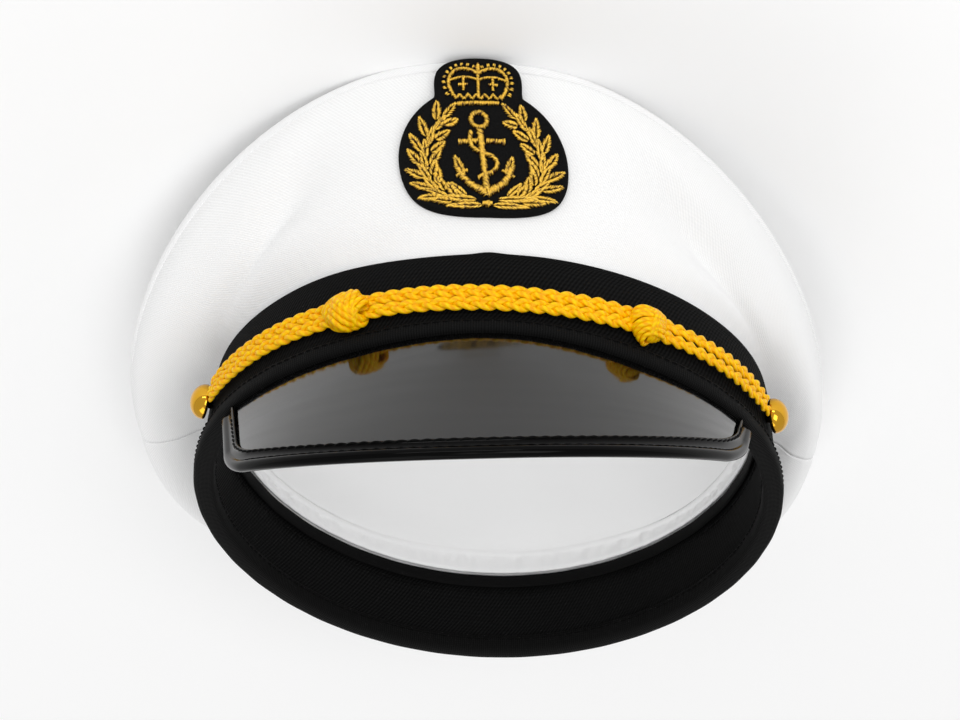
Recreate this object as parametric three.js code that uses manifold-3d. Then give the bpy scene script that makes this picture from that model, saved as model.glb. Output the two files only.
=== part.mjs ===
// A captain's hat: a soft white crown on a black band, with a glossy visor, a gold cord and a badge.
// The hat is drawn upright (X right, -Y front, +Z up, middle of the rim at the origin) and is then turned
// over and set down on its crown, which is how it rests on a table.
import * as THREE from "three";
import { LoftGeometry } from "three/addons/geometries/LoftGeometry.js";
import { mergeVertices } from "three/addons/utils/BufferGeometryUtils.js";
import Module from "manifold-3d";

const wasm = await Module();
wasm.setup();

// Driving dimensions, in millimetres and degrees
const GAP = 0.3;
const REST = { pressed: 2, slack: 1.8 };
const BAND = {
  halfWidth: 89.5,
  halfLength: 100.4,
  sideLift: 4,
  height: 31,
  bottom: 1,
  lean: 2.5,
  thick: 1.6,
};
const BINDING = { leg: 5, thick: 1.1, drop: 1.2, round: 0.8 };
const SWEATBAND = { thick: 1.6, top: 26, backset: 2, lean: 2.4 };
const TAPE = { width: 4.4, thick: 1, rise: 0.4 };
const CROWN = {
  thick: 1.5,
  halfWidth: 108,
  front: 106,
  back: 120,
  slump: -5,
  tuck: 4,
  clear: 1.5,
  seam: 97,
  seamGap: 0.25,
  lip: 1.3,
  lipRise: 1.2,
  dome: 5,
};
const LINING = { thick: 1, backset: 0.6, up: 27.25, hang: 6, fullness: 3.4 };
const VISOR = {
  thick: 1.2,
  end: 59,
  slope: 65,
  endSlope: 54,
  toe: 0.17,
  rootOut: -0.5,
  rootUp: -1.9,
  edgeLevel: 14,
  edgeFall: 0.5,
  edgeSkew: 0.02,
  corner: 10,
  cornerFrom: 0.9,
  camber: 1.4,
};
const EDGING = { width: 5.5, leg: 1, nose: 1.2, start: 5.2 };
const CORD = { diameter: 4.2, up: 13.4, pitch: 4.6, end: 67.7 };
const KNOT = { halfWidth: 6.4, halfHeight: 6.4, halfDepth: 4.6, proud: 1.2, ridge: 0.5, ridges: 5 };
const BUTTON = { angle: 71.5, radius: 5.3, dome: 4.2, rim: 0.8, shank: 1.8, stand: 2, shell: 0.8 };
const BADGE = { thick: 1.4, bottom: 12, squash: 0.95, proud: 2, stitchDepth: 0.9, frontRadius: 97 };

// The crown's top edge rises and falls round the hat as three cosine waves
const EDGE_WAVES = [
  { wave: 0, height: 57.4 },
  { wave: 1, height: 21 },
  { wave: 2, height: 13.2 },
];

// How the side of the crown leaves the band and reaches its top edge, by angle from the front
const SIDE_SECTIONS = [
  { angle: 0, leaveOut: 3, leaveUp: 16, arriveOut: 0.5, arriveDown: 20 },
  { angle: 50, leaveOut: 5, leaveUp: 9, arriveOut: 2, arriveDown: 17 },
  { angle: 85, leaveOut: 9, leaveUp: 2.5, arriveOut: 3, arriveDown: 17 },
  { angle: 125, leaveOut: 11, leaveUp: 1.5, arriveOut: 7, arriveDown: 24 },
  { angle: 180, leaveOut: 9, leaveUp: 2, arriveOut: 4, arriveDown: 18 },
];

// Soft dents in the crown's side
const DENTS = [
  { angle: -36, along: 0.62, depth: 3.2, wide: 15, tall: 0.22 },
  { angle: 40, along: 0.5, depth: 3, wide: 16, tall: 0.24 },
  { angle: -98, along: 0.5, depth: 1.6, wide: 9, tall: 0.3 },
  { angle: 101, along: 0.5, depth: 1.8, wide: 9, tall: 0.3 },
];

// What the left and right of the hat hold, as seen by someone facing it
const SIDES = [
  { name: "left", side: -1, knotAngle: -25.5 },
  { name: "right", side: 1, knotAngle: 28.5 },
];

// Facets along and across each form
const STEPS = { ring: 56, tape: 40, top: 44, topRows: 5, topEase: 1.6, front: 28, back: 36, sideRows: 8 };
const FINE = { lining: 36, liningRows: 6, visor: 26, visorRows: 4, edging: 28, edgingEnd: 3 };
const STRAND = { steps: 36, quarter: 3 };
const SMALL = { button: 14, knotRound: 12, knotRows: 7, badge: 40, badgeRows: 3, curve: 5, disc: 4 };

const MERGE = 1e-4;
const SMALL_STEP = 1e-3;
const UP = new THREE.Vector3(0, 0, 1);
const radians = THREE.MathUtils.degToRad;
const blend = THREE.MathUtils.lerp;

// Materials
const finish = (color, roughness, metalness = 0) =>
  new THREE.MeshStandardMaterial({ color, roughness, metalness });
const WHITE_TWILL = finish(0xf4f4f2, 0.85);
const LINING_CLOTH = finish(0xefefee, 0.6);
const BLACK_TWILL = finish(0x131313, 0.85);
const SMOOTH_TAPE = finish(0x1c1c1c, 0.45);
const GLOSS_PLASTIC = finish(0x080808, 0.08);
const GOLD_CORD = finish(0xf2ab18, 0.5);
const BRASS = finish(0xd9a83c, 0.18, 1);
const BLACK_FELT = finish(0x101010, 0.9);
const GOLD_THREAD = finish(0xe0a021, 0.42, 0.3);

// Merges shared corners and drops triangles that have no area
function closed(geometry) {
  const bare = new THREE.BufferGeometry().copy(geometry);
  bare.deleteAttribute("normal");
  bare.deleteAttribute("uv");
  const merged = mergeVertices(bare, MERGE);
  const corners = merged.index.array;
  const kept = [];
  for (let i = 0; i < corners.length; i += 3) {
    const [a, b, c] = corners.slice(i, i + 3);
    if (a !== b && b !== c && c !== a) kept.push(a, b, c);
  }
  merged.setIndex(kept);
  return facedOut(merged);
}

// Turns the triangles over where they enclose a negative volume
function facedOut(geometry) {
  const at = geometry.attributes.position;
  const index = Array.from(geometry.index.array);
  const [a, b, c] = [new THREE.Vector3(), new THREE.Vector3(), new THREE.Vector3()];
  let volume = 0;
  for (let i = 0; i < index.length; i += 3) {
    a.fromBufferAttribute(at, index[i]);
    b.fromBufferAttribute(at, index[i + 1]);
    c.fromBufferAttribute(at, index[i + 2]);
    volume += a.dot(b.cross(c));
  }
  geometry.setIndex(volume < 0 ? index.reverse() : index);
  return geometry;
}

// Joins and cuts of closed geometries
function toManifold(geometry) {
  const vertProperties = new Float32Array(geometry.attributes.position.array);
  const triVerts = new Uint32Array(geometry.index.array);
  return new wasm.Manifold(new wasm.Mesh({ numProp: 3, vertProperties, triVerts }));
}

function toGeometry(body) {
  const mesh = body.getMesh();
  const geometry = new THREE.BufferGeometry();
  geometry.setAttribute("position", new THREE.Float32BufferAttribute(mesh.vertProperties, 3));
  geometry.setIndex(Array.from(mesh.triVerts));
  return geometry;
}

function joined(geometries) {
  const bodies = geometries.map(toManifold);
  return toGeometry(bodies.reduce((whole, next) => whole.add(next)));
}

function cut(geometry, cutters) {
  const tools = cutters.map(toManifold);
  return toGeometry(tools.reduce((whole, next) => whole.subtract(next), toManifold(geometry)));
}

// A closed loop of sections, the last one meeting the first
function hoop(sectionAt, steps) {
  const sections = [];
  for (let i = 0; i <= steps; i += 1) sections.push(sectionAt((2 * Math.PI * (i % steps)) / steps));
  return closed(new LoftGeometry(sections));
}

// A run of sections with a cap at each end
function run(sections) {
  return closed(new LoftGeometry(sections, { capStart: true, capEnd: true }));
}

// The unit normal of a surface given as a function of two shares
function normalOf(surface, u, v) {
  const stepU = u > 0.5 ? -SMALL_STEP : SMALL_STEP;
  const stepV = v > 0.5 ? -SMALL_STEP : SMALL_STEP;
  const here = surface(u, v);
  const along = surface(u + stepU, v).sub(here).divideScalar(stepU);
  const across = surface(u, v + stepV).sub(here).divideScalar(stepV);
  return along.cross(across).normalize();
}

// One section of a sheet: out along one face and back along the other
function sheetSection(surface, thick, u, rows, sideways = normalOf) {
  const faces = [[], []];
  for (let k = 0; k <= rows; k += 1) {
    const side = sideways(surface, u, k / rows).multiplyScalar(thick / 2);
    faces[0].push(surface(u, k / rows).add(side));
    faces[1].unshift(surface(u, k / rows).sub(side));
  }
  return faces.flat();
}

// A sheet whose two ends are closed along their middle line
function sheet(surface, thick, steps, rows) {
  const sections = [sheetSection(surface, 0, 0, rows)];
  for (let i = 0; i <= steps; i += 1) sections.push(sheetSection(surface, thick, i / steps, rows));
  sections.push(sheetSection(surface, 0, 1, rows));
  return closed(new LoftGeometry(sections));
}

// A sheet that closes on itself, with its first row drawn to one point
function cap(surface, thick, steps, rows) {
  const upright = () => UP.clone();
  return hoop((angle) => sheetSection(surface, thick, angle / (2 * Math.PI), rows, upright), steps);
}

// The rim: a point at an angle from the front, so far out from the band's foot and so far up
function rimPoint(angle, out, up) {
  const x = (BAND.halfWidth + out) * Math.sin(angle);
  const y = -(BAND.halfLength + out) * Math.cos(angle);
  return new THREE.Vector3(x, y, up + BAND.sideLift * Math.sin(angle) ** 2);
}

function outward(angle) {
  const x = Math.sin(angle) / BAND.halfWidth;
  const y = -Math.cos(angle) / BAND.halfLength;
  return new THREE.Vector3(x, y, 0).normalize();
}

// The band and what is sewn round the rim
const bandOut = (up) => (-BAND.lean * up) / BAND.height;

function bandWall() {
  return hoop((angle) => [
    rimPoint(angle, bandOut(BAND.bottom), BAND.bottom),
    rimPoint(angle, bandOut(BAND.height), BAND.height),
    rimPoint(angle, bandOut(BAND.height) - BAND.thick, BAND.height),
    rimPoint(angle, bandOut(BAND.bottom) - BAND.thick, BAND.bottom),
  ], STEPS.ring);
}

const sweatbandFoot = -SWEATBAND.backset;
const sweatbandTop = sweatbandFoot - SWEATBAND.lean;

function sweatbandWall() {
  return hoop((angle) => [
    rimPoint(angle, sweatbandFoot, BAND.bottom),
    rimPoint(angle, sweatbandTop, SWEATBAND.top),
    rimPoint(angle, sweatbandTop - SWEATBAND.thick, SWEATBAND.top),
    rimPoint(angle, sweatbandFoot - SWEATBAND.thick, BAND.bottom),
  ], STEPS.ring);
}

function sweatbandTape() {
  const top = SWEATBAND.top + TAPE.rise;
  const low = top - TAPE.width;
  const slant = SWEATBAND.lean / (SWEATBAND.top - BAND.bottom);
  const face = (up) => sweatbandTop + (SWEATBAND.top - up) * slant - SWEATBAND.thick - GAP;
  return hoop((angle) => [
    rimPoint(angle, face(low), low),
    rimPoint(angle, face(top), top),
    rimPoint(angle, face(top) - TAPE.thick, top),
    rimPoint(angle, face(low) - TAPE.thick, low),
  ], STEPS.tape);
}

function rimBinding() {
  const slotOut = GAP;
  const slotIn = sweatbandFoot - SWEATBAND.thick - GAP;
  const floor = BAND.bottom - GAP;
  const outer = slotOut + BINDING.thick;
  const inner = slotIn - BINDING.thick;
  return hoop((angle) => [
    rimPoint(angle, slotOut + bandOut(BINDING.leg), BINDING.leg),
    rimPoint(angle, outer + bandOut(BINDING.leg), BINDING.leg),
    rimPoint(angle, outer, 0),
    rimPoint(angle, outer - BINDING.round, -BINDING.drop),
    rimPoint(angle, inner + BINDING.round, -BINDING.drop),
    rimPoint(angle, inner, 0),
    rimPoint(angle, inner + bandOut(BINDING.leg), BINDING.leg),
    rimPoint(angle, slotIn + bandOut(BINDING.leg), BINDING.leg),
    rimPoint(angle, slotIn, floor),
    rimPoint(angle, slotOut, floor),
  ], STEPS.ring);
}

// The crown's top edge
function edgeHeight(angle, share = 1) {
  const lift = ({ wave, height }) => height * share ** wave * Math.cos(wave * angle);
  return EDGE_WAVES.reduce((sum, row) => sum + lift(row), 0);
}

function edgePoint(angle) {
  const middle = (CROWN.back - CROWN.front) / 2;
  const halfLength = (CROWN.back + CROWN.front) / 2;
  const x = CROWN.slump + CROWN.halfWidth * Math.sin(angle);
  return new THREE.Vector3(x, middle - halfLength * Math.cos(angle), edgeHeight(angle));
}

// The table that the crown rests on, seen in the upright hat: it touches the edge's front and back
const edgeFront = edgePoint(0);
const edgeBack = edgePoint(Math.PI);
const restTilt = Math.atan2(edgeFront.z - edgeBack.z, edgeBack.y - edgeFront.y);
const tableNormal = new THREE.Vector3(0, Math.sin(restTilt), Math.cos(restTilt));
const topFace = (CROWN.lipRise + CROWN.thick / 2) * Math.cos(restTilt);
const tableReach = edgeFront.dot(tableNormal) + topFace - REST.pressed;

// Presses a point of the cloth back until it lies no nearer than the margin to the table
function pressedBack(point, margin) {
  const beyond = point.dot(tableNormal) - (tableReach - margin);
  return beyond > 0 ? point.addScaledVector(tableNormal, -beyond) : point;
}

// A column of the side table at any angle, eased between its rows
function sideValue(column, angle) {
  const turn = Math.abs(THREE.MathUtils.radToDeg(angle));
  const next = SIDE_SECTIONS.findIndex((row, i) => i > 0 && turn <= row.angle + MERGE);
  const [from, to] = [SIDE_SECTIONS[next - 1], SIDE_SECTIONS[next]];
  const share = THREE.MathUtils.smoothstep(turn, from.angle, to.angle);
  return blend(from[column], to[column], share);
}

function dentDepth(angle, along) {
  return DENTS.reduce((sum, dent) => {
    const turn = (THREE.MathUtils.radToDeg(angle) - dent.angle) / dent.wide;
    const climb = (along - dent.along) / dent.tall;
    return sum + dent.depth * Math.exp(-turn * turn - climb * climb);
  }, 0);
}

// The side of the crown, from behind the band (0) over the band's top edge to the crown's edge (1)
const tuckOut = bandOut(BAND.height) - BAND.thick - GAP - CROWN.thick / 2;
const TUCK_SHARE = 1 / STEPS.sideRows;

function crownSide(angle, share) {
  const foot = rimPoint(angle, tuckOut, BAND.height - CROWN.tuck);
  const start = rimPoint(angle, tuckOut, BAND.height + CROWN.clear);
  if (share <= TUCK_SHARE) return foot.lerp(start, share / TUCK_SHARE);
  const along = (share - TUCK_SHARE) / (1 - TUCK_SHARE);
  const out = outward(angle);
  const edge = edgePoint(angle);
  const end = pressedBack(edge.clone(), CROWN.thick + REST.slack);
  const leave = start.clone().addScaledVector(out, sideValue("leaveOut", angle));
  leave.z += sideValue("leaveUp", angle);
  const arrive = edge.addScaledVector(out, sideValue("arriveOut", angle));
  arrive.z -= sideValue("arriveDown", angle);
  const point = new THREE.CubicBezierCurve3(start, leave, arrive, end).getPoint(along);
  const ease = Math.sin(Math.PI * Math.min(along, 1));
  return point.addScaledVector(out, -dentDepth(angle, along) * ease);
}

function crownPanel(from, to, steps) {
  const surface = (u, v) => {
    const turn = radians(blend(from, to, u));
    return crownSide(turn > Math.PI ? turn - 2 * Math.PI : turn, v);
  };
  return sheet(surface, CROWN.thick, steps, STEPS.sideRows);
}

// The top panel is a film stretched over the edge, with a slight dome
function crownTop() {
  const middle = new THREE.Vector3(CROWN.slump, (CROWN.back - CROWN.front) / 2, 0);
  const reach = 1 + CROWN.lip / CROWN.halfWidth;
  const surface = (u, v) => {
    const angle = 2 * Math.PI * u;
    const eased = 1 - (1 - v) ** STEPS.topEase;
    const share = eased * reach;
    const point = middle.clone().lerp(edgePoint(angle), share);
    point.z = edgeHeight(angle, share) + CROWN.dome * (1 - eased * eased) + CROWN.lipRise;
    return pressedBack(point, (CROWN.thick / 2) * Math.cos(restTilt));
  };
  return cap(surface, CROWN.thick, STEPS.top, STEPS.topRows);
}

// The lining hangs inside the crown from the top of the sweatband
function lining() {
  const out = tuckOut - CROWN.thick / 2 - GAP - LINING.thick / 2 - LINING.backset;
  const surface = (u, v) => {
    const angle = 2 * Math.PI * u;
    const foot = rimPoint(angle, out, LINING.up);
    const share = Math.sin((v * Math.PI) / 2) ** 0.8;
    const inEdge = share * (BAND.halfWidth / CROWN.halfWidth);
    const ceiling = edgeHeight(angle, inEdge) + CROWN.dome * (1 - inEdge ** 2) - LINING.hang;
    const arch = (1 - share ** LINING.fullness) ** (1 / LINING.fullness);
    return new THREE.Vector3(foot.x * share, foot.y * share, blend(foot.z, ceiling, arch));
  };
  return cap(surface, LINING.thick, FINE.lining, FINE.liningRows);
}

// The visor: straight rulings that leave the rim forwards and down, cut off by one plane
function visorRuling(across) {
  const root = rimPoint(radians(VISOR.end) * across, VISOR.rootOut, VISOR.rootUp);
  const slope = radians(blend(VISOR.slope, VISOR.endSlope, across * across));
  const sideways = -VISOR.toe * across;
  const ahead = Math.sqrt(1 - sideways * sideways);
  const heading = new THREE.Vector3(sideways, -Math.cos(slope) * ahead, -Math.sin(slope) * ahead);
  const fall = VISOR.edgeLevel + VISOR.edgeSkew * root.x + VISOR.edgeFall * root.y - root.z;
  const length = fall / (heading.z - VISOR.edgeSkew * heading.x - VISOR.edgeFall * heading.y);
  const bend = Math.max(0, (Math.abs(across) - VISOR.cornerFrom) / (1 - VISOR.cornerFrom));
  const rounded = VISOR.corner * (1 - Math.sqrt(1 - bend * bend));
  return { root, heading, length: length - rounded };
}

function visorPoint(across, along) {
  const { root, heading, length } = visorRuling(across);
  const swell = VISOR.camber * Math.sin(Math.PI * along) * (1 - across ** 4);
  const point = root.addScaledVector(heading, length * along);
  const slope = radians(VISOR.slope);
  return point.add(new THREE.Vector3(0, -Math.sin(slope), Math.cos(slope)).multiplyScalar(swell));
}

const visorSurface = (u, v) => visorPoint(Math.sin(Math.PI * (THREE.MathUtils.clamp(u, 0, 1) - 0.5)), v);

function visorPlate() {
  return sheet(visorSurface, VISOR.thick, FINE.visor, FINE.visorRows);
}

// The visor's edging wraps both faces of its free edge
function visorEdging() {
  const route = [];
  const ends = (side, i) => blend(EDGING.start / visorRuling(side).length, 1, i / FINE.edgingEnd);
  for (let i = 0; i < FINE.edgingEnd; i += 1) route.push([0, ends(-1, i)]);
  for (let i = 0; i <= FINE.edging; i += 1) route.push([i / FINE.edging, 1]);
  for (let i = FINE.edgingEnd - 1; i >= 0; i -= 1) route.push([1, ends(1, i)]);
  const slot = VISOR.thick / 2 + GAP;
  const face = slot + EDGING.leg;
  const nose = GAP + EDGING.nose;
  const profile = [
    [EDGING.width, slot], [-GAP, slot], [-GAP, -slot], [EDGING.width, -slot], [EDGING.width, -face],
    [-GAP, -face], [-nose, -face / 2], [-nose, face / 2], [-GAP, face], [EDGING.width, face],
  ];
  const path = route.map(([u, v]) => visorSurface(u, v));
  return run(route.map(([u, v], i) => {
    const ahead = path[Math.min(i + 1, path.length - 1)];
    const behind = path[Math.max(i - 1, 0)];
    const tangent = ahead.clone().sub(behind).normalize();
    const inside = THREE.MathUtils.clamp(u, 0.04, 0.96);
    const normal = normalOf(visorSurface, inside, Math.min(v, 0.97));
    const inwards = tangent.clone().cross(normal).normalize();
    if (inwards.dot(visorSurface(0.5, 0.5).sub(path[i])) < 0) inwards.negate();
    const lift = inwards.clone().cross(tangent).normalize();
    const corner = ([into, up]) => path[i].clone().addScaledVector(inwards, into).addScaledVector(lift, up);
    return profile.map(corner);
  }));
}

// The gold cord: two strands along the band from button to button, gripped by two knots
const cordOut = bandOut(CORD.up) + GAP + CORD.diameter / 2;

function cordStrand(side, diameter, end) {
  const up = CORD.up + (side * CORD.pitch) / 2;
  const points = [];
  for (let i = 0; i <= STRAND.steps; i += 1) {
    const angle = radians(blend(-end, end, i / STRAND.steps));
    points.push(rimPoint(angle, cordOut, up));
  }
  const circle = new THREE.Shape().absarc(0, 0, diameter / 2, 0, 2 * Math.PI);
  const settings = { steps: STRAND.steps, curveSegments: STRAND.quarter, bevelEnabled: false };
  settings.extrudePath = new THREE.CatmullRomCurve3(points);
  return closed(new THREE.ExtrudeGeometry(circle, settings));
}

// Stands a geometry that was drawn along +Z on the band at an angle, looking outwards
function onBand(geometry, angle, out) {
  const facing = outward(angle);
  const turn = new THREE.Quaternion().setFromRotationMatrix(
    new THREE.Matrix4().makeBasis(UP.clone().cross(facing), UP, facing),
  );
  const place = rimPoint(angle, bandOut(CORD.up) + out, CORD.up);
  geometry.applyMatrix4(new THREE.Matrix4().compose(place, turn, new THREE.Vector3(1, 1, 1)));
  return geometry;
}

// The channel in a knot's back that the two strands lie in
function cordChannel() {
  const half = CORD.pitch / 2 + CORD.diameter / 2 + GAP;
  const front = cordOut + CORD.diameter / 2 + GAP;
  const sections = [];
  for (let i = 0; i <= STRAND.steps; i += 1) {
    const angle = radians(blend(-CORD.end, CORD.end, i / STRAND.steps));
    const corner = (out, up) => rimPoint(angle, out, CORD.up + up);
    sections.push([corner(front, -half), corner(-front, -half), corner(-front, half), corner(front, half)]);
  }
  return run(sections);
}

function knot(angle) {
  const ball = new THREE.SphereGeometry(1, SMALL.knotRound, SMALL.knotRows);
  const at = ball.attributes.position;
  for (let i = 0; i < at.count; i += 1) {
    const turn = Math.atan2(at.getX(i), at.getZ(i));
    const wave = 1 + (KNOT.ridge / KNOT.halfWidth) * Math.cos(KNOT.ridges * turn + 3 * at.getY(i));
    const across = at.getX(i) * KNOT.halfWidth * wave;
    at.setXYZ(i, across, at.getY(i) * KNOT.halfHeight, at.getZ(i) * KNOT.halfDepth);
  }
  const body = onBand(closed(ball), radians(angle), GAP + CORD.diameter / 2 + KNOT.proud);
  return cut(body, [cordChannel()]);
}

// A stamped button: a domed shell with an open back, on a post that reaches the band
function button(side) {
  const foot = BUTTON.stand;
  const arc = (radius, height, from) => {
    const points = [];
    for (let i = 1; i <= SMALL.curve; i += 1) {
      const turn = ((Math.PI / 2) * i) / SMALL.curve;
      const reach = i < SMALL.curve ? radius * Math.cos(turn) : 0;
      points.push(new THREE.Vector2(reach, from + height * Math.sin(turn)));
    }
    return points;
  };
  const inside = BUTTON.radius - BUTTON.shell;
  const crest = foot + BUTTON.rim;
  const underside = arc(inside, BUTTON.dome - BUTTON.shell, crest).slice(0, -2).reverse();
  const profile = [
    new THREE.Vector2(0, GAP),
    new THREE.Vector2(BUTTON.shank, GAP),
    ...underside.map(({ x, y }) => new THREE.Vector2(Math.max(x, BUTTON.shank), y)),
    new THREE.Vector2(inside, foot),
    new THREE.Vector2(BUTTON.radius, foot),
    new THREE.Vector2(BUTTON.radius, crest),
    ...arc(BUTTON.radius, BUTTON.dome, crest),
  ];
  const dome = new THREE.LatheGeometry(profile, SMALL.button).rotateX(Math.PI / 2);
  return onBand(closed(dome), side * radians(BUTTON.angle), 0);
}

// The badge: drawn flat with X across and Y up from its foot, then laid on the crown's front
const frontHeight = edgeHeight(0) - BAND.height - CROWN.clear;

function onFront(x, y, out) {
  const angle = x / BADGE.frontRadius;
  const climb = BADGE.bottom - CROWN.clear + y * BADGE.squash;
  const share = TUCK_SHARE + (1 - TUCK_SHARE) * (climb / frontHeight);
  const held = Math.min(share, 1);
  const surface = (u, v) => crownSide(u, v);
  const point = surface(angle, held);
  if (share > held) {
    const below = surface(angle, 1 - SMALL_STEP);
    point.add(point.clone().sub(below).multiplyScalar((share - held) / SMALL_STEP));
  }
  const facing = outward(angle);
  const lean = BADGE.proud * (y / frontHeight);
  return point.addScaledVector(facing, CROWN.thick / 2 + GAP + lean + out);
}

function badgeOutline() {
  const half = new THREE.Shape();
  half.moveTo(0, 0);
  half.bezierCurveTo(20, -0.4, 25.4, 8, 25, 20);
  half.bezierCurveTo(24.6, 29, 19, 35.6, 12.8, 39);
  half.bezierCurveTo(12.2, 41, 13.4, 44, 12, 48);
  half.bezierCurveTo(10, 52, 5, 52.6, 0, 52.6);
  const right = half.getSpacedPoints(SMALL.badge / 2);
  const left = right.slice(1, -1).reverse().map(({ x, y }) => new THREE.Vector2(-x, y));
  return right.concat(left);
}

function badgeBacking() {
  const outline = badgeOutline();
  const middle = new THREE.Vector2(0, 24);
  const rows = SMALL.badgeRows;
  return hoop((angle) => {
    const edge = outline[Math.round((angle / (2 * Math.PI)) * outline.length) % outline.length];
    const section = [];
    for (let k = 0; k <= rows; k += 1) {
      const flat = middle.clone().lerp(edge, k / rows);
      section.push(onFront(flat.x, flat.y, BADGE.thick));
    }
    for (let k = rows; k >= 0; k -= 1) {
      const flat = middle.clone().lerp(edge, k / rows);
      section.push(onFront(flat.x, flat.y, 0));
    }
    return section;
  }, outline.length);
}

// A flat shape of the badge, raised like padded stitching
function raised(shape) {
  const settings = { depth: BADGE.stitchDepth, steps: 1, curveSegments: SMALL.disc, bevelEnabled: false };
  const geometry = closed(new THREE.ExtrudeGeometry(shape, settings));
  const at = geometry.attributes.position;
  for (let i = 0; i < at.count; i += 1) {
    const place = onFront(at.getX(i), at.getY(i), BADGE.thick + GAP + at.getZ(i));
    at.setXYZ(i, place.x, place.y, place.z);
  }
  return facedOut(geometry);
}

function bar(x, y, width, height) {
  const shape = new THREE.Shape();
  shape.moveTo(x - width / 2, y - height / 2);
  shape.lineTo(x + width / 2, y - height / 2);
  shape.lineTo(x + width / 2, y + height / 2);
  shape.lineTo(x - width / 2, y + height / 2);
  return shape;
}

function disc(x, y, radius) {
  return new THREE.Shape().absarc(x, y, radius, 0, 2 * Math.PI);
}

// A band of even width that follows a curve
function ribbon(curve, width, steps) {
  const shape = new THREE.Shape();
  const left = [];
  const right = [];
  for (let i = 0; i <= steps; i += 1) {
    const point = curve.getPoint(i / steps);
    const heading = curve.getTangent(i / steps);
    left.push(new THREE.Vector2(point.x - (heading.y * width) / 2, point.y + (heading.x * width) / 2));
    right.unshift(new THREE.Vector2(point.x + (heading.y * width) / 2, point.y - (heading.x * width) / 2));
  }
  return shape.setFromPoints(left.concat(right));
}

const ANCHOR = { ring: 3, ringWidth: 1.3, ringUp: 32.4, foot: 7.4, head: 30.2, shank: 2.1 };
const STOCK = { up: 25.6, length: 13.4, ball: 1.5 };
const FLUKE = { out: 8.4, up: 20.8, width: 1.9, barb: 4.4 };

function badgeAnchor() {
  const ring = disc(0, ANCHOR.ringUp, ANCHOR.ring);
  const eye = ANCHOR.ring - ANCHOR.ringWidth;
  ring.holes.push(new THREE.Path().absarc(0, ANCHOR.ringUp, eye, 0, 2 * Math.PI, true));
  const middle = (ANCHOR.head + ANCHOR.foot + 1) / 2;
  const pieces = [
    raised(ring),
    raised(bar(0, middle, ANCHOR.shank, ANCHOR.head - ANCHOR.foot - 1)),
    raised(bar(0, STOCK.up, STOCK.length, ANCHOR.shank)),
  ];
  for (const side of [-1, 1]) {
    const tip = new THREE.Vector2(side * FLUKE.out, FLUKE.up);
    const arm = new THREE.QuadraticBezierCurve(
      new THREE.Vector2(side * -0.6, ANCHOR.foot + 1),
      new THREE.Vector2(side * 7.6, ANCHOR.foot + 2.2),
      new THREE.Vector2(side * FLUKE.out * 0.92, FLUKE.up - 2),
    );
    const barb = new THREE.Shape([
      tip,
      new THREE.Vector2(tip.x - side * FLUKE.barb, tip.y - FLUKE.barb),
      new THREE.Vector2(tip.x + side * 0.9, tip.y - FLUKE.barb - 1.2),
    ]);
    pieces.push(raised(ribbon(arm, FLUKE.width, SMALL.curve)), raised(barb));
    pieces.push(raised(disc((side * STOCK.length) / 2, STOCK.up, STOCK.ball)));
  }
  return joined(pieces);
}

// The wreath: one sprig on each side, a stem with leaves along both of its edges
const WREATH = {
  pairs: 7,
  leaf: 7.2,
  innerLeaf: 5.2,
  width: 2.6,
  spread: 36,
  stem: 1.5,
  first: 0.1,
  last: 0.93,
};

// The corners of one leaf on one edge of the stem, from its base round its tip
function leafCorners(stem, share, edge, leaf) {
  const heading = stem.getTangent(share);
  const across = new THREE.Vector2(-heading.y, heading.x).multiplyScalar(edge);
  const way = heading.clone().rotateAround(new THREE.Vector2(), edge * radians(WREATH.spread));
  const aside = new THREE.Vector2(-way.y, way.x).multiplyScalar((edge * WREATH.width) / 2);
  const base = stem.getPoint(share).addScaledVector(across, WREATH.stem / 2);
  const at = (along, out) => {
    const climb = way.clone().multiplyScalar(along * leaf);
    return base.clone().add(climb).addScaledVector(aside, out);
  };
  return [at(0.02, 0.4), at(0.4, 1), at(1, 0), at(0.55, -0.9), at(0.22, -0.5)];
}

function badgeWreath(side) {
  const stem = new THREE.CubicBezierCurve(
    new THREE.Vector2(side * 1.4, 4.2),
    new THREE.Vector2(side * 17, 4.4),
    new THREE.Vector2(side * 23, 19),
    new THREE.Vector2(side * 12.4, 31.4),
  );
  const foot = ribbon(stem, WREATH.stem, 1).getPoints();
  const edges = { [-1]: [], 1: [] };
  for (let i = 0; i < WREATH.pairs; i += 1) {
    const share = blend(WREATH.first, WREATH.last, i / (WREATH.pairs - 1));
    for (const edge of [-1, 1]) {
      const leaf = edge === side ? WREATH.innerLeaf : WREATH.leaf;
      edges[edge].push(...leafCorners(stem, share, edge, leaf));
    }
  }
  const tip = stem.getPoint(1).addScaledVector(stem.getTangent(1), WREATH.leaf * 0.8);
  const outline = [foot[0], ...edges[1], tip, ...edges[-1].reverse(), foot[foot.length - 1]];
  const flat = new wasm.CrossSection([outline.map(({ x, y }) => [x, y])], "NonZero").simplify(0.1);
  const sprig = flat.extrude(BADGE.stitchDepth).warp((corner) => {
    const place = onFront(corner[0], corner[1], BADGE.thick + GAP + corner[2]);
    place.toArray(corner);
  });
  return closed(toGeometry(sprig));
}

// The badge's crown: a base band, three arches and a ball on top
const ARCHES = { base: 37.4, width: 12.6, band: 2.2, out: 8, top: 47.4, rope: 1.7, ball: 1.3 };

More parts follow.
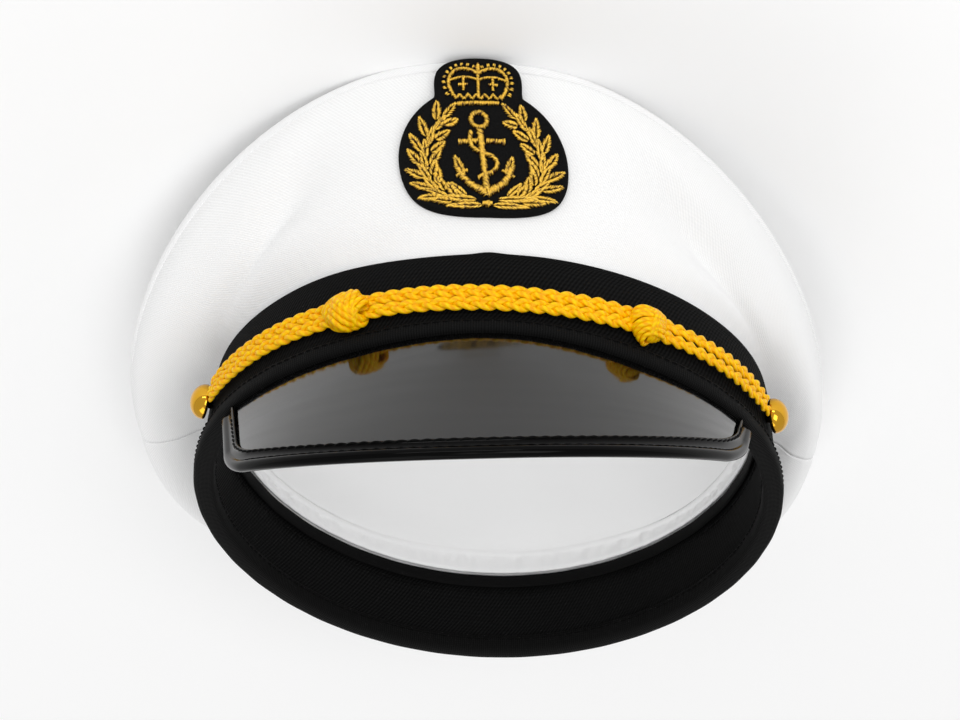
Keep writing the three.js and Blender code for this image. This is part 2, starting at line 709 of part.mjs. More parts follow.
function badgeCrown() {
  const pieces = [raised(bar(0, ARCHES.base, ARCHES.width, ARCHES.band))];
  for (const side of [-1, 1]) {
    const arch = new THREE.CubicBezierCurve(
      new THREE.Vector2((side * ARCHES.width) / 2.3, ARCHES.base),
      new THREE.Vector2(side * (ARCHES.out + 3.4), ARCHES.base + 9.5),
      new THREE.Vector2(side * 3.2, ARCHES.top + 2.6),
      new THREE.Vector2(side * -0.3, ARCHES.top - 1.4),
    );
    pieces.push(raised(ribbon(arch, ARCHES.rope, SMALL.curve + 3)));
  }
  pieces.push(raised(bar(0, (ARCHES.base + ARCHES.top) / 2, ARCHES.rope, ARCHES.top - ARCHES.base)));
  pieces.push(raised(disc(0, ARCHES.top + 0.9, ARCHES.ball)));
  return joined(pieces);
}

// The parts of the hat
const hat = new THREE.Group();

function add(name, geometry, material) {
  const mesh = new THREE.Mesh(geometry, material);
  mesh.name = name;
  hat.add(mesh);
}

const seamFrom = CROWN.seam + CROWN.seamGap / 2;
add("crown_top_panel", crownTop(), WHITE_TWILL);
add("crown_front_panel", crownPanel(-CROWN.seam, CROWN.seam, STEPS.front), WHITE_TWILL);
add("crown_back_panel", crownPanel(seamFrom, 360 - seamFrom, STEPS.back), WHITE_TWILL);
add("lining", lining(), LINING_CLOTH);
add("hat_band", bandWall(), BLACK_TWILL);
add("sweatband", sweatbandWall(), BLACK_TWILL);
add("sweatband_tape", sweatbandTape(), SMOOTH_TAPE);
add("rim_binding", rimBinding(), BLACK_TWILL);
add("visor", visorPlate(), GLOSS_PLASTIC);
add("visor_edging", visorEdging(), GLOSS_PLASTIC);
add("cord_upper", cordStrand(1, CORD.diameter, CORD.end), GOLD_CORD);
add("cord_lower", cordStrand(-1, CORD.diameter, CORD.end), GOLD_CORD);
for (const { name, side, knotAngle } of SIDES) {
  add(`knot_${name}`, knot(knotAngle), GOLD_CORD);
  add(`button_${name}`, button(side), BRASS);
  add(`badge_wreath_${name}`, badgeWreath(side), GOLD_THREAD);
}
add("badge_backing", badgeBacking(), BLACK_FELT);
add("badge_anchor", badgeAnchor(), GOLD_THREAD);
add("badge_crown", badgeCrown(), GOLD_THREAD);

// Turned over on the table, with the middle of its footprint at the origin
const part = new THREE.Group();
hat.rotation.set(-restTilt, Math.PI, 0);
part.add(hat);
part.updateMatrixWorld(true);
const box = new THREE.Box3().setFromObject(part, true);
const middle = box.getCenter(new THREE.Vector3());
hat.position.set(-middle.x, -middle.y, tableReach);

export default part;
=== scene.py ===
import math

import bpy
import numpy as np
from mathutils import Matrix, Vector


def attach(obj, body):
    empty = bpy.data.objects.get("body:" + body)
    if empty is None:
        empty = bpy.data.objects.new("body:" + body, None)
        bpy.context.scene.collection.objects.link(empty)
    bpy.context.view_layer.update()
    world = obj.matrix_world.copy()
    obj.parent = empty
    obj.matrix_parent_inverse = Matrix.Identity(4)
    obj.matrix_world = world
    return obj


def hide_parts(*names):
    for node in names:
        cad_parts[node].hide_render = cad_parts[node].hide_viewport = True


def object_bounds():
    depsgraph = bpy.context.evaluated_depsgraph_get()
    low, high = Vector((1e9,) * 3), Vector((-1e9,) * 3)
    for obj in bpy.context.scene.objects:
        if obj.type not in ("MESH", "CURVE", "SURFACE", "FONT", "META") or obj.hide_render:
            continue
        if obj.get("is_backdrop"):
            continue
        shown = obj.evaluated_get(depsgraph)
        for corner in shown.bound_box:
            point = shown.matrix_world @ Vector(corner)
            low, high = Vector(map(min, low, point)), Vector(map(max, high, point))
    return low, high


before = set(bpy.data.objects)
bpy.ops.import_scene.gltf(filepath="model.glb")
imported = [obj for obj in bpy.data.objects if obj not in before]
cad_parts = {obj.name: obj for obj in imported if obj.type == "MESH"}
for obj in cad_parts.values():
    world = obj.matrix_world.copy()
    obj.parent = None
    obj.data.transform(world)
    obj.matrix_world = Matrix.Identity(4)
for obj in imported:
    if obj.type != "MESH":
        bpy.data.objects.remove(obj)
cad_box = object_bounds()
rng = np.random.default_rng(7)

# Sizes in millimetres, angles in degrees from the hat's front. The hat is drawn upright (X right, -Y front,
# +Z up, middle of the rim at the origin), and placed() turns it over onto its crown
GAP = 0.3
BAND = dict(half_width=89.5, half_length=100.4, side_lift=4, height=31, foot=1, lean=2.5, thick=1.6)
BINDING = dict(leg=5, thick=1.1, drop=1.2, round=0.8)
SWEATBAND = dict(thick=1.6, top=26, backset=2, lean=2.4)
TAPE = dict(width=4.4, thick=1, rise=0.4)
CROWN = dict(thick=1.5, half_width=108, front=106, back=120, slump=-5, tuck=4, clear=1.5, seam=97,
             lip_rise=1.2, dome=5, pressed=2, slack=0.6)
LINING = dict(thick=1, backset=0.6, up=27.25, hang=6, fullness=3.4)
VISOR = dict(thick=1.2, end=59, slope=65.5, end_slope=49, twist=1.5, toe=0.13, root_out=-0.5, root_up=-1.9,
             edge_level=12.2, edge_fall=0.5, edge_skew=0.06, corner=10, corner_from=0.9, camber=0.62)
# The rim's foot arches up at the front, where the visor is sewn in
RISE = dict(height=3.6, middle=3, breadth=25, fades=12)
EDGING = dict(width=5.5, leg=1, nose=1.2, start=2.8, side_share=0.06)
CORD = dict(diameter=4.2, up=13.4, pitch=4.2, end=66.6)
BUTTON = dict(angle=70.4, radius=5.3, dome=4.2, rim=0.8, shank=1.8, stand=2)
BADGE = dict(thick=1.4, bottom=13, squash=0.935, proud=2, foot_radius=94, flare=0.36, height=52.6,
             felt_sag=4, thread_sag=10)
KNOTS = {"left": -25.5, "right": 29.6}
EDGE_WAVES = [57.4, 21, 13.2]
SIDE_ROWS = 8

# Puckers along the side seams, the groove of the seam, and gathers along the band
PUCKERS = dict(breadth=3.5, waves=26, sway=2, sway_waves=9, depth=0.35, groove=0.55, groove_depth=0.6)
BAND_GATHERS = dict(depth=0.28, reach=0.09, full_from=70, least=0.25, waves=(1.9, 3.1), shift=1.4)
SEWING = dict(up=3.6, radius=0.22)

# How the crown's side leaves the band and reaches its top edge:
# angle, leave out, leave up, arrive out, arrive down
SIDE_SECTIONS = np.array([
    [0, 3, 16, 0.5, 20],
    [50, 5, 9, 2, 17],
    [85, 9, 2.5, 3, 17],
    [125, 11, 1.5, 7, 24],
    [180, 9, 2, 4, 18],
])
# Soft dents of the crown's side: angle, share of the height, depth, breadth, share of the height it spans
DENTS = np.array([
    [-36, 0.62, 4.2, 15, 0.22],
    [40, 0.5, 4.0, 16, 0.24],
    [-98, 0.5, 1.6, 9, 0.3],
    [101, 0.5, 1.8, 9, 0.3],
])
# Slack folds: angle, share of the height, depth, length in degrees, share of the height it is broad, slant
FOLDS = np.array([
    [-44, 0.46, 1.7, 18, 0.12, 0.014],
    [-58, 0.30, 0.7, 14, 0.06, 0.010],
    [-32, 0.72, 1.2, 13, 0.11, 0.018],
    [46, 0.42, 1.6, 17, 0.12, -0.014],
    [60, 0.26, 0.6, 13, 0.06, -0.010],
    [33, 0.66, 0.6, 12, 0.07, -0.015],
    [-88, 0.34, 0.8, 9, 0.08, 0.018],
    [90, 0.30, 0.8, 9, 0.08, -0.018],
])


# An angle in radians, brought between half a turn to the left and half a turn to the right
def centred(angle):
    return (angle + math.pi) % (2 * math.pi) - math.pi


# A cubic curve from a to d, steered by b and c
def cubic(t, a, b, c, d):
    return (1 - t) ** 3 * a + 3 * t * (1 - t) ** 2 * b + 3 * t * t * (1 - t) * c + t ** 3 * d


# The upright hat's surfaces, worked out for arrays of points
def rim(angle, out, up):
    x = (BAND["half_width"] + out) * np.sin(angle)
    y = -(BAND["half_length"] + out) * np.cos(angle)
    return np.stack(np.broadcast_arrays(x, y, up + BAND["side_lift"] * np.sin(angle) ** 2), -1)


def front_rise(angle, up):
    turn = np.degrees(centred(angle))
    arch = RISE["height"] * np.exp(-((turn - RISE["middle"]) / RISE["breadth"]) ** 2)
    return arch * np.clip(1 - up / RISE["fades"], 0, 1)


def outward(angle):
    aside, ahead = np.sin(angle) / BAND["half_width"], -np.cos(angle) / BAND["half_length"]
    way = np.stack([aside, ahead, 0 * angle], -1)
    return way / np.linalg.norm(way, axis=-1, keepdims=True)


def band_out(up):
    return -BAND["lean"] * up / BAND["height"]


def edge_height(angle, share=1.0):
    return sum(height * share ** wave * np.cos(wave * angle) for wave, height in enumerate(EDGE_WAVES))


def edge_point(angle):
    middle = (CROWN["back"] - CROWN["front"]) / 2
    half = (CROWN["back"] + CROWN["front"]) / 2
    x = CROWN["slump"] + CROWN["half_width"] * np.sin(angle)
    return np.stack(np.broadcast_arrays(x, middle - half * np.cos(angle), edge_height(angle)), -1)


# The table that the crown rests on, and the hat's place on it
EDGE_FRONT, EDGE_BACK = edge_point(np.array([0.0, math.pi]))
TILT = math.atan2(EDGE_FRONT[2] - EDGE_BACK[2], EDGE_BACK[1] - EDGE_FRONT[1])
TABLE_NORMAL = np.array([0, math.sin(TILT), math.cos(TILT)])
TOP_FACE = (CROWN["lip_rise"] + CROWN["thick"] / 2) * math.cos(TILT)
TABLE_REACH = EDGE_FRONT @ TABLE_NORMAL + TOP_FACE - CROWN["pressed"]
PLACE = np.array([-5.0, 7.362, TABLE_REACH])
TURN = np.array([
    [-1, 0, 0],
    [0, math.cos(TILT), -math.sin(TILT)],
    [0, -math.sin(TILT), -math.cos(TILT)],
])


def placed(points):
    return (np.asarray(points) @ TURN.T + PLACE) / 1000


def pressed_back(points, margin):
    beyond = np.maximum(points @ TABLE_NORMAL - (TABLE_REACH - margin), 0)
    return points - beyond[..., None] * TABLE_NORMAL


def side_value(column, angle):
    turn = np.abs(np.degrees(angle))
    at = np.clip(np.searchsorted(SIDE_SECTIONS[:, 0], turn), 1, len(SIDE_SECTIONS) - 1)
    low, high = SIDE_SECTIONS[at - 1], SIDE_SECTIONS[at]
    share = np.clip((turn - low[..., 0]) / (high[..., 0] - low[..., 0]), 0, 1)
    return low[..., column] + (high[..., column] - low[..., column]) * share * share * (3 - 2 * share)


def hollows(angle, along):
    turn = np.degrees(angle)[..., None]
    along = along[..., None]
    around = (turn - DENTS[:, 0]) / DENTS[:, 3]
    high = (along - DENTS[:, 1]) / DENTS[:, 4]
    dents = DENTS[:, 2] * np.exp(-around ** 2 - high ** 2)
    run = (turn - FOLDS[:, 0]) / FOLDS[:, 3]
    off = (along - FOLDS[:, 1] - FOLDS[:, 5] * (turn - FOLDS[:, 0])) / FOLDS[:, 4]
    folds = FOLDS[:, 2] * np.exp(-run ** 2) * (np.exp(-off ** 2) - 0.6 * np.exp(-(off - 1.5) ** 2))
    return dents.sum(-1) + folds.sum(-1)


def puckers(angle, along):
    turn = np.abs(np.degrees(angle))
    off = turn - CROWN["seam"]
    ripple = np.sin(PUCKERS["waves"] * along + PUCKERS["sway"] * np.sin(PUCKERS["sway_waves"] * along))
    seam = np.exp(-(off / PUCKERS["breadth"]) ** 2) * ripple * PUCKERS["depth"]
    stitched = np.exp(-(off / PUCKERS["groove"]) ** 2) * PUCKERS["groove_depth"]
    fast, faster = BAND_GATHERS["waves"]
    waves = np.sin(turn * fast) + np.sin(turn * faster + BAND_GATHERS["shift"] * np.sign(angle))
    share = np.clip(turn / BAND_GATHERS["full_from"], BAND_GATHERS["least"], 1)
    gathers = BAND_GATHERS["depth"] * np.exp(-along / BAND_GATHERS["reach"]) * share * waves
    return gathers + seam - stitched


TUCK_OUT = band_out(BAND["height"]) - BAND["thick"] - GAP - CROWN["thick"] / 2
TUCK_SHARE = 1 / SIDE_ROWS


def crown_side(angle, share, soft=False):
    angle = centred(angle)
    foot = rim(angle, TUCK_OUT, BAND["height"] - CROWN["tuck"])
    start = rim(angle, TUCK_OUT, BAND["height"] + CROWN["clear"])
    along = np.clip((share - TUCK_SHARE) / (1 - TUCK_SHARE), 0, 1.2)
    out = outward(angle)
    edge = edge_point(angle)
    end = pressed_back(edge, CROWN["thick"] + CROWN["slack"])
    up = np.array([0, 0, 1.0])
    leave = start + out * side_value(1, angle)[..., None] + up * side_value(2, angle)[..., None]
    arrive = edge + out * side_value(3, angle)[..., None] - up * side_value(4, angle)[..., None]
    point = cubic(along[..., None], start, leave, arrive, end)
    ease = np.sin(math.pi * np.clip(along, 0, 1))
    depth = hollows(angle, along) * ease
    if soft:
        depth = depth - puckers(angle, along) * np.clip(along * 12, 0, 1)
    point = point - out * depth[..., None]
    tucked = foot + (start - foot) * (share / TUCK_SHARE)[..., None]
    return np.where((share <= TUCK_SHARE)[..., None], tucked, point)


def visor_point(across, along):
    angle = np.radians(VISOR["end"]) * across
    root = rim(angle, VISOR["root_out"], VISOR["root_up"] + front_rise(angle, VISOR["root_up"]))
    eased = np.abs(across) ** VISOR["twist"]
    slope = np.radians(VISOR["slope"] + (VISOR["end_slope"] - VISOR["slope"]) * eased)
    sideways = -VISOR["toe"] * across
    ahead = np.sqrt(1 - sideways ** 2)
    heading = np.stack([sideways, -np.cos(slope) * ahead, -np.sin(slope) * ahead], -1)
    skew, fall = VISOR["edge_skew"], VISOR["edge_fall"]
    to_edge = VISOR["edge_level"] + skew * root[..., 0] + fall * root[..., 1] - root[..., 2]
    length = to_edge / (heading[..., 2] - skew * heading[..., 0] - fall * heading[..., 1])
    bend = np.clip((np.abs(across) - VISOR["corner_from"]) / (1 - VISOR["corner_from"]), 0, 1)
    length = length - VISOR["corner"] * (1 - np.sqrt(1 - bend ** 2))
    swell = VISOR["camber"] * np.sin(math.pi * along) * (1 - across ** 4)
    lean = math.radians(VISOR["slope"])
    proud = swell[..., None] * [0, -math.sin(lean), math.cos(lean)]
    return root + heading * (length * along)[..., None] + proud


def visor_surface(u, v):
    return visor_point(np.sin(math.pi * (np.clip(u, 0, 1) - 0.5)), v)


# How far along a line each of its points lies
def distances(line):
    return np.concatenate([[0], np.cumsum(np.linalg.norm(np.diff(line, axis=0), axis=1))])


# Mesh building
def activate(piece):
    bpy.ops.object.select_all(action="DESELECT")
    piece.select_set(True)
    bpy.context.view_layer.objects.active = piece


def modified(piece, kind, **settings):
    activate(piece)
    bpy.ops.object.modifier_add(type=kind)
    modifier = piece.modifiers[-1]
    for key, value in settings.items():
        setattr(modifier, key, value)
    bpy.ops.object.modifier_apply(modifier=modifier.name)


# A grid laid on a surface of two shares, with a UV map in millimetres of cloth
def shaped_grid(name, columns, rows, surface, spread, thick=0.0, offset=0, rounds=0):
    bpy.ops.object.select_all(action="DESELECT")
    bpy.ops.mesh.primitive_grid_add(x_subdivisions=columns, y_subdivisions=rows, size=1)
    piece = bpy.context.object
    piece.name = piece.data.name = name
    mesh = piece.data
    flat = np.empty(len(mesh.vertices) * 3, np.float32)
    mesh.vertices.foreach_get("co", flat)
    u, v = np.clip(flat.reshape(-1, 3)[:, :2].astype(float).T + 0.5, 0, 1)
    mesh.vertices.foreach_set("co", placed(surface(u, v)).ravel())
    corners = np.empty(len(mesh.loops), np.int32)
    mesh.loops.foreach_get("vertex_index", corners)
    cloth = np.stack([u * spread[0], v * spread[1]], -1)[corners]
    mesh.uv_layers.active.data.foreach_set("uv", cloth.ravel())
    mesh.update()
    bpy.ops.object.mode_set(mode="EDIT")
    bpy.ops.mesh.select_all(action="SELECT")
    bpy.ops.mesh.remove_doubles(threshold=2e-6)
    bpy.ops.object.mode_set(mode="OBJECT")
    if rounds:
        modified(piece, "SUBSURF", levels=rounds, render_levels=rounds)
    if thick:
        modified(piece, "SOLIDIFY", thickness=thick / 1000, offset=offset)
    activate(piece)
    bpy.ops.object.mode_set(mode="EDIT")
    bpy.ops.mesh.select_all(action="SELECT")
    bpy.ops.mesh.fill_holes(sides=0)
    bpy.ops.mesh.normals_make_consistent(inside=False)
    bpy.ops.object.mode_set(mode="OBJECT")
    bpy.ops.object.shade_smooth()
    return piece


# A ring of cloth round the rim: a closed section of (out, up) corners carried round the hat
def hoop(name, section, columns, wave=lambda angle: 0 * angle, rounds=1, lift=None):
    section = np.array(section + section[:1], float)
    lengths = distances(section)
    shares = np.linspace(0, 1, len(section))

    def surface(u, v):
        angle = 2 * math.pi * u
        out = np.interp(v, shares, section[:, 0])
        up = np.interp(v, shares, section[:, 1])
        if lift:
            up = up + lift(angle, up)
        return rim(angle, out + wave(angle), up)

    around = 2 * math.pi * math.sqrt(BAND["half_width"] * BAND["half_length"])
    return shaped_grid(name, columns, len(section) - 1, surface, (around, lengths[-1]), rounds=rounds)


# Round threads along many paths of equal length, as one mesh, with UVs along and round each
def tubes(name, paths, radii, normals, sides, flatten=1.0):
    paths = np.asarray(paths, float)
    count, steps = paths.shape[:2]
    radii = np.broadcast_to(radii, (count, steps))
    tangent = np.gradient(paths, axis=1)
    tangent /= np.linalg.norm(tangent, axis=-1, keepdims=True) + 1e-12
    side = np.cross(tangent, np.broadcast_to(normals, paths.shape))
    side /= np.linalg.norm(side, axis=-1, keepdims=True) + 1e-12
    up = np.cross(side, tangent)
    turn = 2 * math.pi * np.arange(sides) / sides
    ring = np.cos(turn)[:, None] * side[:, :, None] + flatten * np.sin(turn)[:, None] * up[:, :, None]
    points = placed(paths[:, :, None] + radii[:, :, None, None] * ring)
    index = np.arange(count * steps * sides).reshape(count, steps, sides)
    a, b = index[:, :-1], index[:, 1:]
    quads = np.stack([a, b, np.roll(b, -1, 2), np.roll(a, -1, 2)], -1).reshape(-1, 4)
    caps = [list(row) for row in index[:, 0]] + [list(row[::-1]) for row in index[:, -1]]
    mesh = bpy.data.meshes.new(name)
    mesh.from_pydata(points.reshape(-1, 3).tolist(), [], quads.tolist() + caps)
    far = np.concatenate([np.zeros((count, 1)),
                          np.cumsum(np.linalg.norm(np.diff(paths, axis=1), axis=-1), 1)], 1)
    far = far + rng.uniform(0, 50, (count, 1))
    low, high = np.arange(sides) / sides, (np.arange(sides) + 1) / sides
    along = np.stack([far[:, :-1], far[:, 1:], far[:, 1:], far[:, :-1]], -1)[:, :, None].repeat(sides, 2)
    around = np.broadcast_to(np.stack([low, low, high, high], -1), along.shape)
    uv = np.concatenate([np.stack([along, around], -1).reshape(-1, 2), np.zeros((count * 2 * sides, 2))])
    mesh.uv_layers.new(name="UVMap").data.foreach_set("uv", uv.ravel())
    # bow: 0 at both ends of each thread and 1 in its middle; the thread material reads it to paint shade at
    # the ends and a highlight in the middle
    bow = np.broadcast_to(np.sin(math.pi * np.linspace(0, 1, steps))[:, None] ** 2, (count, steps, sides))
    mesh.attributes.new("bow", "FLOAT", "POINT").data.foreach_set("value", bow.ravel())
    piece = bpy.data.objects.new(name, mesh)
    bpy.context.scene.collection.objects.link(piece)
    activate(piece)
    bpy.ops.object.shade_smooth()
    return piece


# Materials
def linear(code):
    value = np.array([int(code[i:i + 2], 16) / 255 for i in (1, 3, 5)])
    low = value <= 0.04045
    return tuple(np.where(low, value / 12.92, ((value + 0.055) / 1.055) ** 2.4)) + (1.0,)


# Adds a node with its settings, its constant inputs and its links
def node(tree, kind, settings=None, values=None, links=None):
    made = tree.nodes.new(kind)
    for key, value in (settings or {}).items():
        setattr(made, key, value)
    for key, value in (values or {}).items():
        made.inputs[key].default_value = value
    for key, (other, socket) in (links or {}).items():
        tree.links.new(other.outputs[socket], made.inputs[key])
    return made


def material(name, **values):
    made = bpy.data.materials.new(name)
    made.use_nodes = True
    shader = made.node_tree.nodes["Principled BSDF"]
    for key, value in values.items():
        shader.inputs[key.replace("_", " ")].default_value = value
    return made, made.node_tree, shader


# Bands of a wave texture repeat every 0.314 units at scale 1
def bands(spacing):
    return 2 * math.pi / 20 / spacing


# Blends a dark and a light colour by one socket, and raises a relief of a real depth by another
def tint_and_raise(tree, shader, colours, blend, relief, depth, strength=1.0):
    dark, light = map(linear, colours)
    colour = node(tree, "ShaderNodeMix", {"data_type": "RGBA"}, {6: dark, 7: light}, {"Factor": blend})
    raised = {"Strength": strength, "Distance": depth / 1000}
    bump = node(tree, "ShaderNodeBump", values=raised, links={"Height": relief})
    tree.links.new(colour.outputs[2], shader.inputs["Base Color"])
    tree.links.new(bump.outputs["Normal"], shader.inputs["Normal"])


# Twill: diagonal ribs of a real spacing on the cloth's own UV map, with uneven yarn
def twill(name, dark, light, spacing, turn, depth, roughness, specular):
    made, tree, shader = material(name, Roughness=roughness, Specular_IOR_Level=specular)
    uv = node(tree, "ShaderNodeUVMap")
    turned = node(tree, "ShaderNodeMapping", values={"Rotation": (0, 0, math.radians(turn))},
                  links={"Vector": (uv, "UV")})
    yarn = {"Scale": bands(spacing), "Distortion": 0.5, "Detail": 1.0, "Detail Scale": 2.0}
    ribs = node(tree, "ShaderNodeTexWave", {"wave_type": "BANDS", "bands_direction": "X"}, yarn,
                {"Vector": (turned, "Vector")})
    pick = {"Scale": bands(spacing * 1.15), "Distortion": 1.0, "Detail": 1.0}
    picks = node(tree, "ShaderNodeTexWave", {"wave_type": "BANDS", "bands_direction": "Y"}, pick,
                 {"Vector": (uv, "UV")})
    slub = node(tree, "ShaderNodeTexNoise", values={"Scale": 0.35, "Detail": 3.0},
                links={"Vector": (uv, "UV")})
    weave = node(tree, "ShaderNodeMix", {"data_type": "FLOAT"}, {0: 0.28},
                 {2: (ribs, "Fac"), 3: (picks, "Fac")})
    height = node(tree, "ShaderNodeMath", {"operation": "MULTIPLY_ADD"}, {1: 0.35},
                  {0: (slub, "Fac"), 2: (weave, 0)})
    tint_and_raise(tree, shader, (dark, light), (weave, 0), (height, "Value"), depth)
    return made


# Spun thread: fine fibres that run along each strand with a little twist, and, by shade, painted shade
# towards both ends of each thread with a painted highlight along its middle
def thread(name, dark, light, roughness, metallic, fibres, depth, specular=0.5, shade=0.0, uneven=0.5):
    made, tree, shader = material(name, Roughness=roughness, Metallic=metallic, Specular_IOR_Level=specular)
    uv = node(tree, "ShaderNodeUVMap")
    slant = node(tree, "ShaderNodeMapping", values={"Scale": (0.9, fibres, 1)},
                 links={"Vector": (uv, "UV")})
    lines = {"Scale": bands(1.0), "Distortion": 1.5, "Detail": 2.0}
    fibre = node(tree, "ShaderNodeTexWave", {"wave_type": "BANDS", "bands_direction": "DIAGONAL"}, lines,
                 {"Vector": (slant, "Vector")})
    mottle = node(tree, "ShaderNodeTexNoise", values={"Scale": 0.6, "Detail": 2.0},
                  links={"Vector": (uv, "UV")})
    spread = {"From Min": 0.3, "From Max": 0.7, "To Min": 0.5 - uneven / 2, "To Max": 0.5 + uneven / 2}
    varied = node(tree, "ShaderNodeMapRange", values=spread, links={"Value": (mottle, "Fac")})
    tone = node(tree, "ShaderNodeMath", {"operation": "MULTIPLY_ADD"}, {1: 0.5},
                {0: (fibre, "Fac"), 2: (varied, "Result")})
    # Painted shade and highlight: by the bow attribute, the colour darkens towards both ends of each
    # thread, where it dives into the cloth, and lightens along its middle
    bow = node(tree, "ShaderNodeAttribute", {"attribute_name": "bow"})
    painted_end_shade = node(tree, "ShaderNodeMath", {"operation": "MULTIPLY_ADD"},
                {1: shade, 2: -0.25 - 0.45 * shade}, {0: (bow, "Fac")})
    shift = node(tree, "ShaderNodeMath", {"operation": "ADD", "use_clamp": True}, None,
                 {0: (tone, "Value"), 1: (painted_end_shade, "Value")})
    tint_and_raise(tree, shader, (dark, light), (shift, "Value"), (fibre, "Fac"), depth)
    return made


# Washed cotton twill: matt white with fine slanting ribs, drawn at 0.85 mm so that they show
COTTON_TWILL = twill("cotton_twill_white", "#f3f3f3", "#fdfdfd", 0.85, -38, 0.075, 0.88, 0.2)
# Black polyester twill: a dull black with ribs that catch the light
BLACK_TWILL = twill("polyester_twill_black", "#060606", "#1a1a1a", 1.15, 35, 0.2, 0.72, 0.03)
# Ribbed binding: fine cross ribs of a black grosgrain tape
GROSGRAIN = twill("grosgrain_tape_black", "#080808", "#181818", 0.8, 0, 0.14, 0.65, 0.04)
# Satin lining cloth: smooth white with hardly any weave
LINING_CLOTH = twill("satin_lining_white", "#f6f6f6", "#fafafa", 0.5, 90, 0.02, 0.55, 0.3)
# Rayon cord: bright golden yellow filaments with a silky gloss
RAYON_CORD = thread("rayon_cord_gold", "#f6a000", "#ffd800", 0.36, 0.0, 4, 0.09, 0.16)
# Metallised embroidery thread: glittering gold, with painted brown shade at both ends of each stitch and a
# painted highlight along its middle
GOLD_THREAD = thread("metallised_thread_gold", "#401c00", "#ffce46", 0.18, 0.45, 2, 0.1, 0.8, 1.0, 1.3)
# Polyester sewing thread: black with a slight gloss
SEWING_THREAD = thread("sewing_thread_black", "#060606", "#121212", 0.6, 0.0, 3, 0.05, 0.05)


# Wool felt: short black fibres in no direction
def felt():
    made, tree, shader = material("wool_felt_black", Roughness=0.95, Specular_IOR_Level=0.08)
    place = node(tree, "ShaderNodeTexCoord")
    fibre = node(tree, "ShaderNodeTexNoise", values={"Scale": 2600.0, "Detail": 3.0},
                 links={"Vector": (place, "Object")})
    tint_and_raise(tree, shader, ("#050505", "#1a1a1a"), (fibre, "Fac"), (fibre, "Fac"), 0.15, 0.8)
    return made


# Moulded PVC: deep black with a clear gloss and a slight flow in its surface
def gloss_plastic():
    made, tree, shader = material("moulded_pvc_black", Base_Color=linear("#070707"), Roughness=0.07,
                                  IOR=1.58)
    uv = node(tree, "ShaderNodeUVMap")
    stretched = node(tree, "ShaderNodeMapping", values={"Scale": (0.012, 0.05, 1)},
                     links={"Vector": (uv, "UV")})
    flow = node(tree, "ShaderNodeTexNoise", values={"Scale": 1.0, "Detail": 2.0},
                links={"Vector": (stretched, "Vector")})
    bump = node(tree, "ShaderNodeBump", values={"Strength": 0.4, "Distance": 0.0009},
                links={"Height": (flow, "Fac")})
    rough = node(tree, "ShaderNodeMapRange", values={"To Min": 0.04, "To Max": 0.13},
                 links={"Value": (flow, "Fac")})
    tree.links.new(bump.outputs["Normal"], shader.inputs["Normal"])
    tree.links.new(rough.outputs["Result"], shader.inputs["Roughness"])
    return made


# Stamped brass, polished and lacquered: a warm mirror with faint handling marks
def brass():
    made, tree, shader = material("polished_brass", Base_Color=linear("#dda630"), Metallic=1.0,
                                  Roughness=0.12)
    place = node(tree, "ShaderNodeTexCoord")
    marks = node(tree, "ShaderNodeTexNoise", values={"Scale": 420.0, "Detail": 4.0},
                 links={"Vector": (place, "Object")})
    rough = node(tree, "ShaderNodeMapRange", values={"To Min": 0.07, "To Max": 0.2},
                 links={"Value": (marks, "Fac")})
    tree.links.new(rough.outputs["Result"], shader.inputs["Roughness"])
    return made


FELT, GLOSS_PLASTIC, BRASS = felt(), gloss_plastic(), brass()
# Vinyl piping: black and glossy, with a softer sheen than the visor
VINYL, _, _ = material("vinyl_piping_black", Base_Color=linear("#040404"), Roughness=0.12, IOR=1.15)
# Satin tape: a smooth dull black
SATIN_TAPE = twill("satin_tape_black", "#0b0b0b", "#141414", 0.6, 90, 0.03, 0.6, 0.03)


# Gives a piece its material and its body, and hides the solid that it stands for
def dress(piece, finish, replaced=None):
    piece.data.materials.clear()
    piece.data.materials.append(finish)
    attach(piece, "root")
    if replaced:
        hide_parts(replaced)


# The crown: front and back panels that meet at the side seams, and the top that rolls over their edge
def crown_panel(name, replaced, start, end, columns, rows):
    def surface(u, v):
        return crown_side(np.radians(start + (end - start) * u), v, soft=True)
    piece = shaped_grid(name, columns, rows, surface, ((end - start) * 1.86, 74), CROWN["thick"])
    dress(piece, COTTON_TWILL, replaced)


# The top's rolled edge: share where it starts, drop over the side, and how far it stands out.
# Where it is folded over further: angle, breadth, strength
ROLL = dict(start=0.92, drop=0.013, more_drop=0.047, out=0.75, more_out=0.5, bulge=1.6)
TOP_FOLDS = [(-75, 38, 1.0), (80, 30, 0.2)]


def crown_top(u, v):
    angle = 2 * math.pi * u
    roll_from = ROLL["start"]
    flat = np.minimum(v / roll_from, 1)
    middle = np.array([CROWN["slump"], (CROWN["back"] - CROWN["front"]) / 2, 0])
    point = middle + (edge_point(angle) - middle) * flat[..., None]
    rise = CROWN["lip_rise"] + CROWN["thick"] / 2
    point[..., 2] = edge_height(angle, flat) + CROWN["dome"] * (1 - flat ** 2) + rise
    degrees = np.degrees(centred(angle))
    folded = sum(a * np.exp(-((degrees - at) / wide) ** 2) for at, wide, a in TOP_FOLDS)
    drop = ROLL["drop"] + ROLL["more_drop"] * folded
    out = outward(angle)
    stands = ROLL["out"] + ROLL["more_out"] * folded
    lip = crown_side(angle, 1 - drop, soft=True) + out * stands[..., None]
    up = np.array([0, 0, 1.0])
    t = np.clip((v - roll_from) / (1 - roll_from), 0, 1)[..., None]
    over, under = point + out * ROLL["bulge"], lip + out * (0.3 + 0.9 * folded)[..., None] + up * 1.8
    return pressed_back(np.where(t > 0, cubic(t, point, over, under, lip), point), 0)


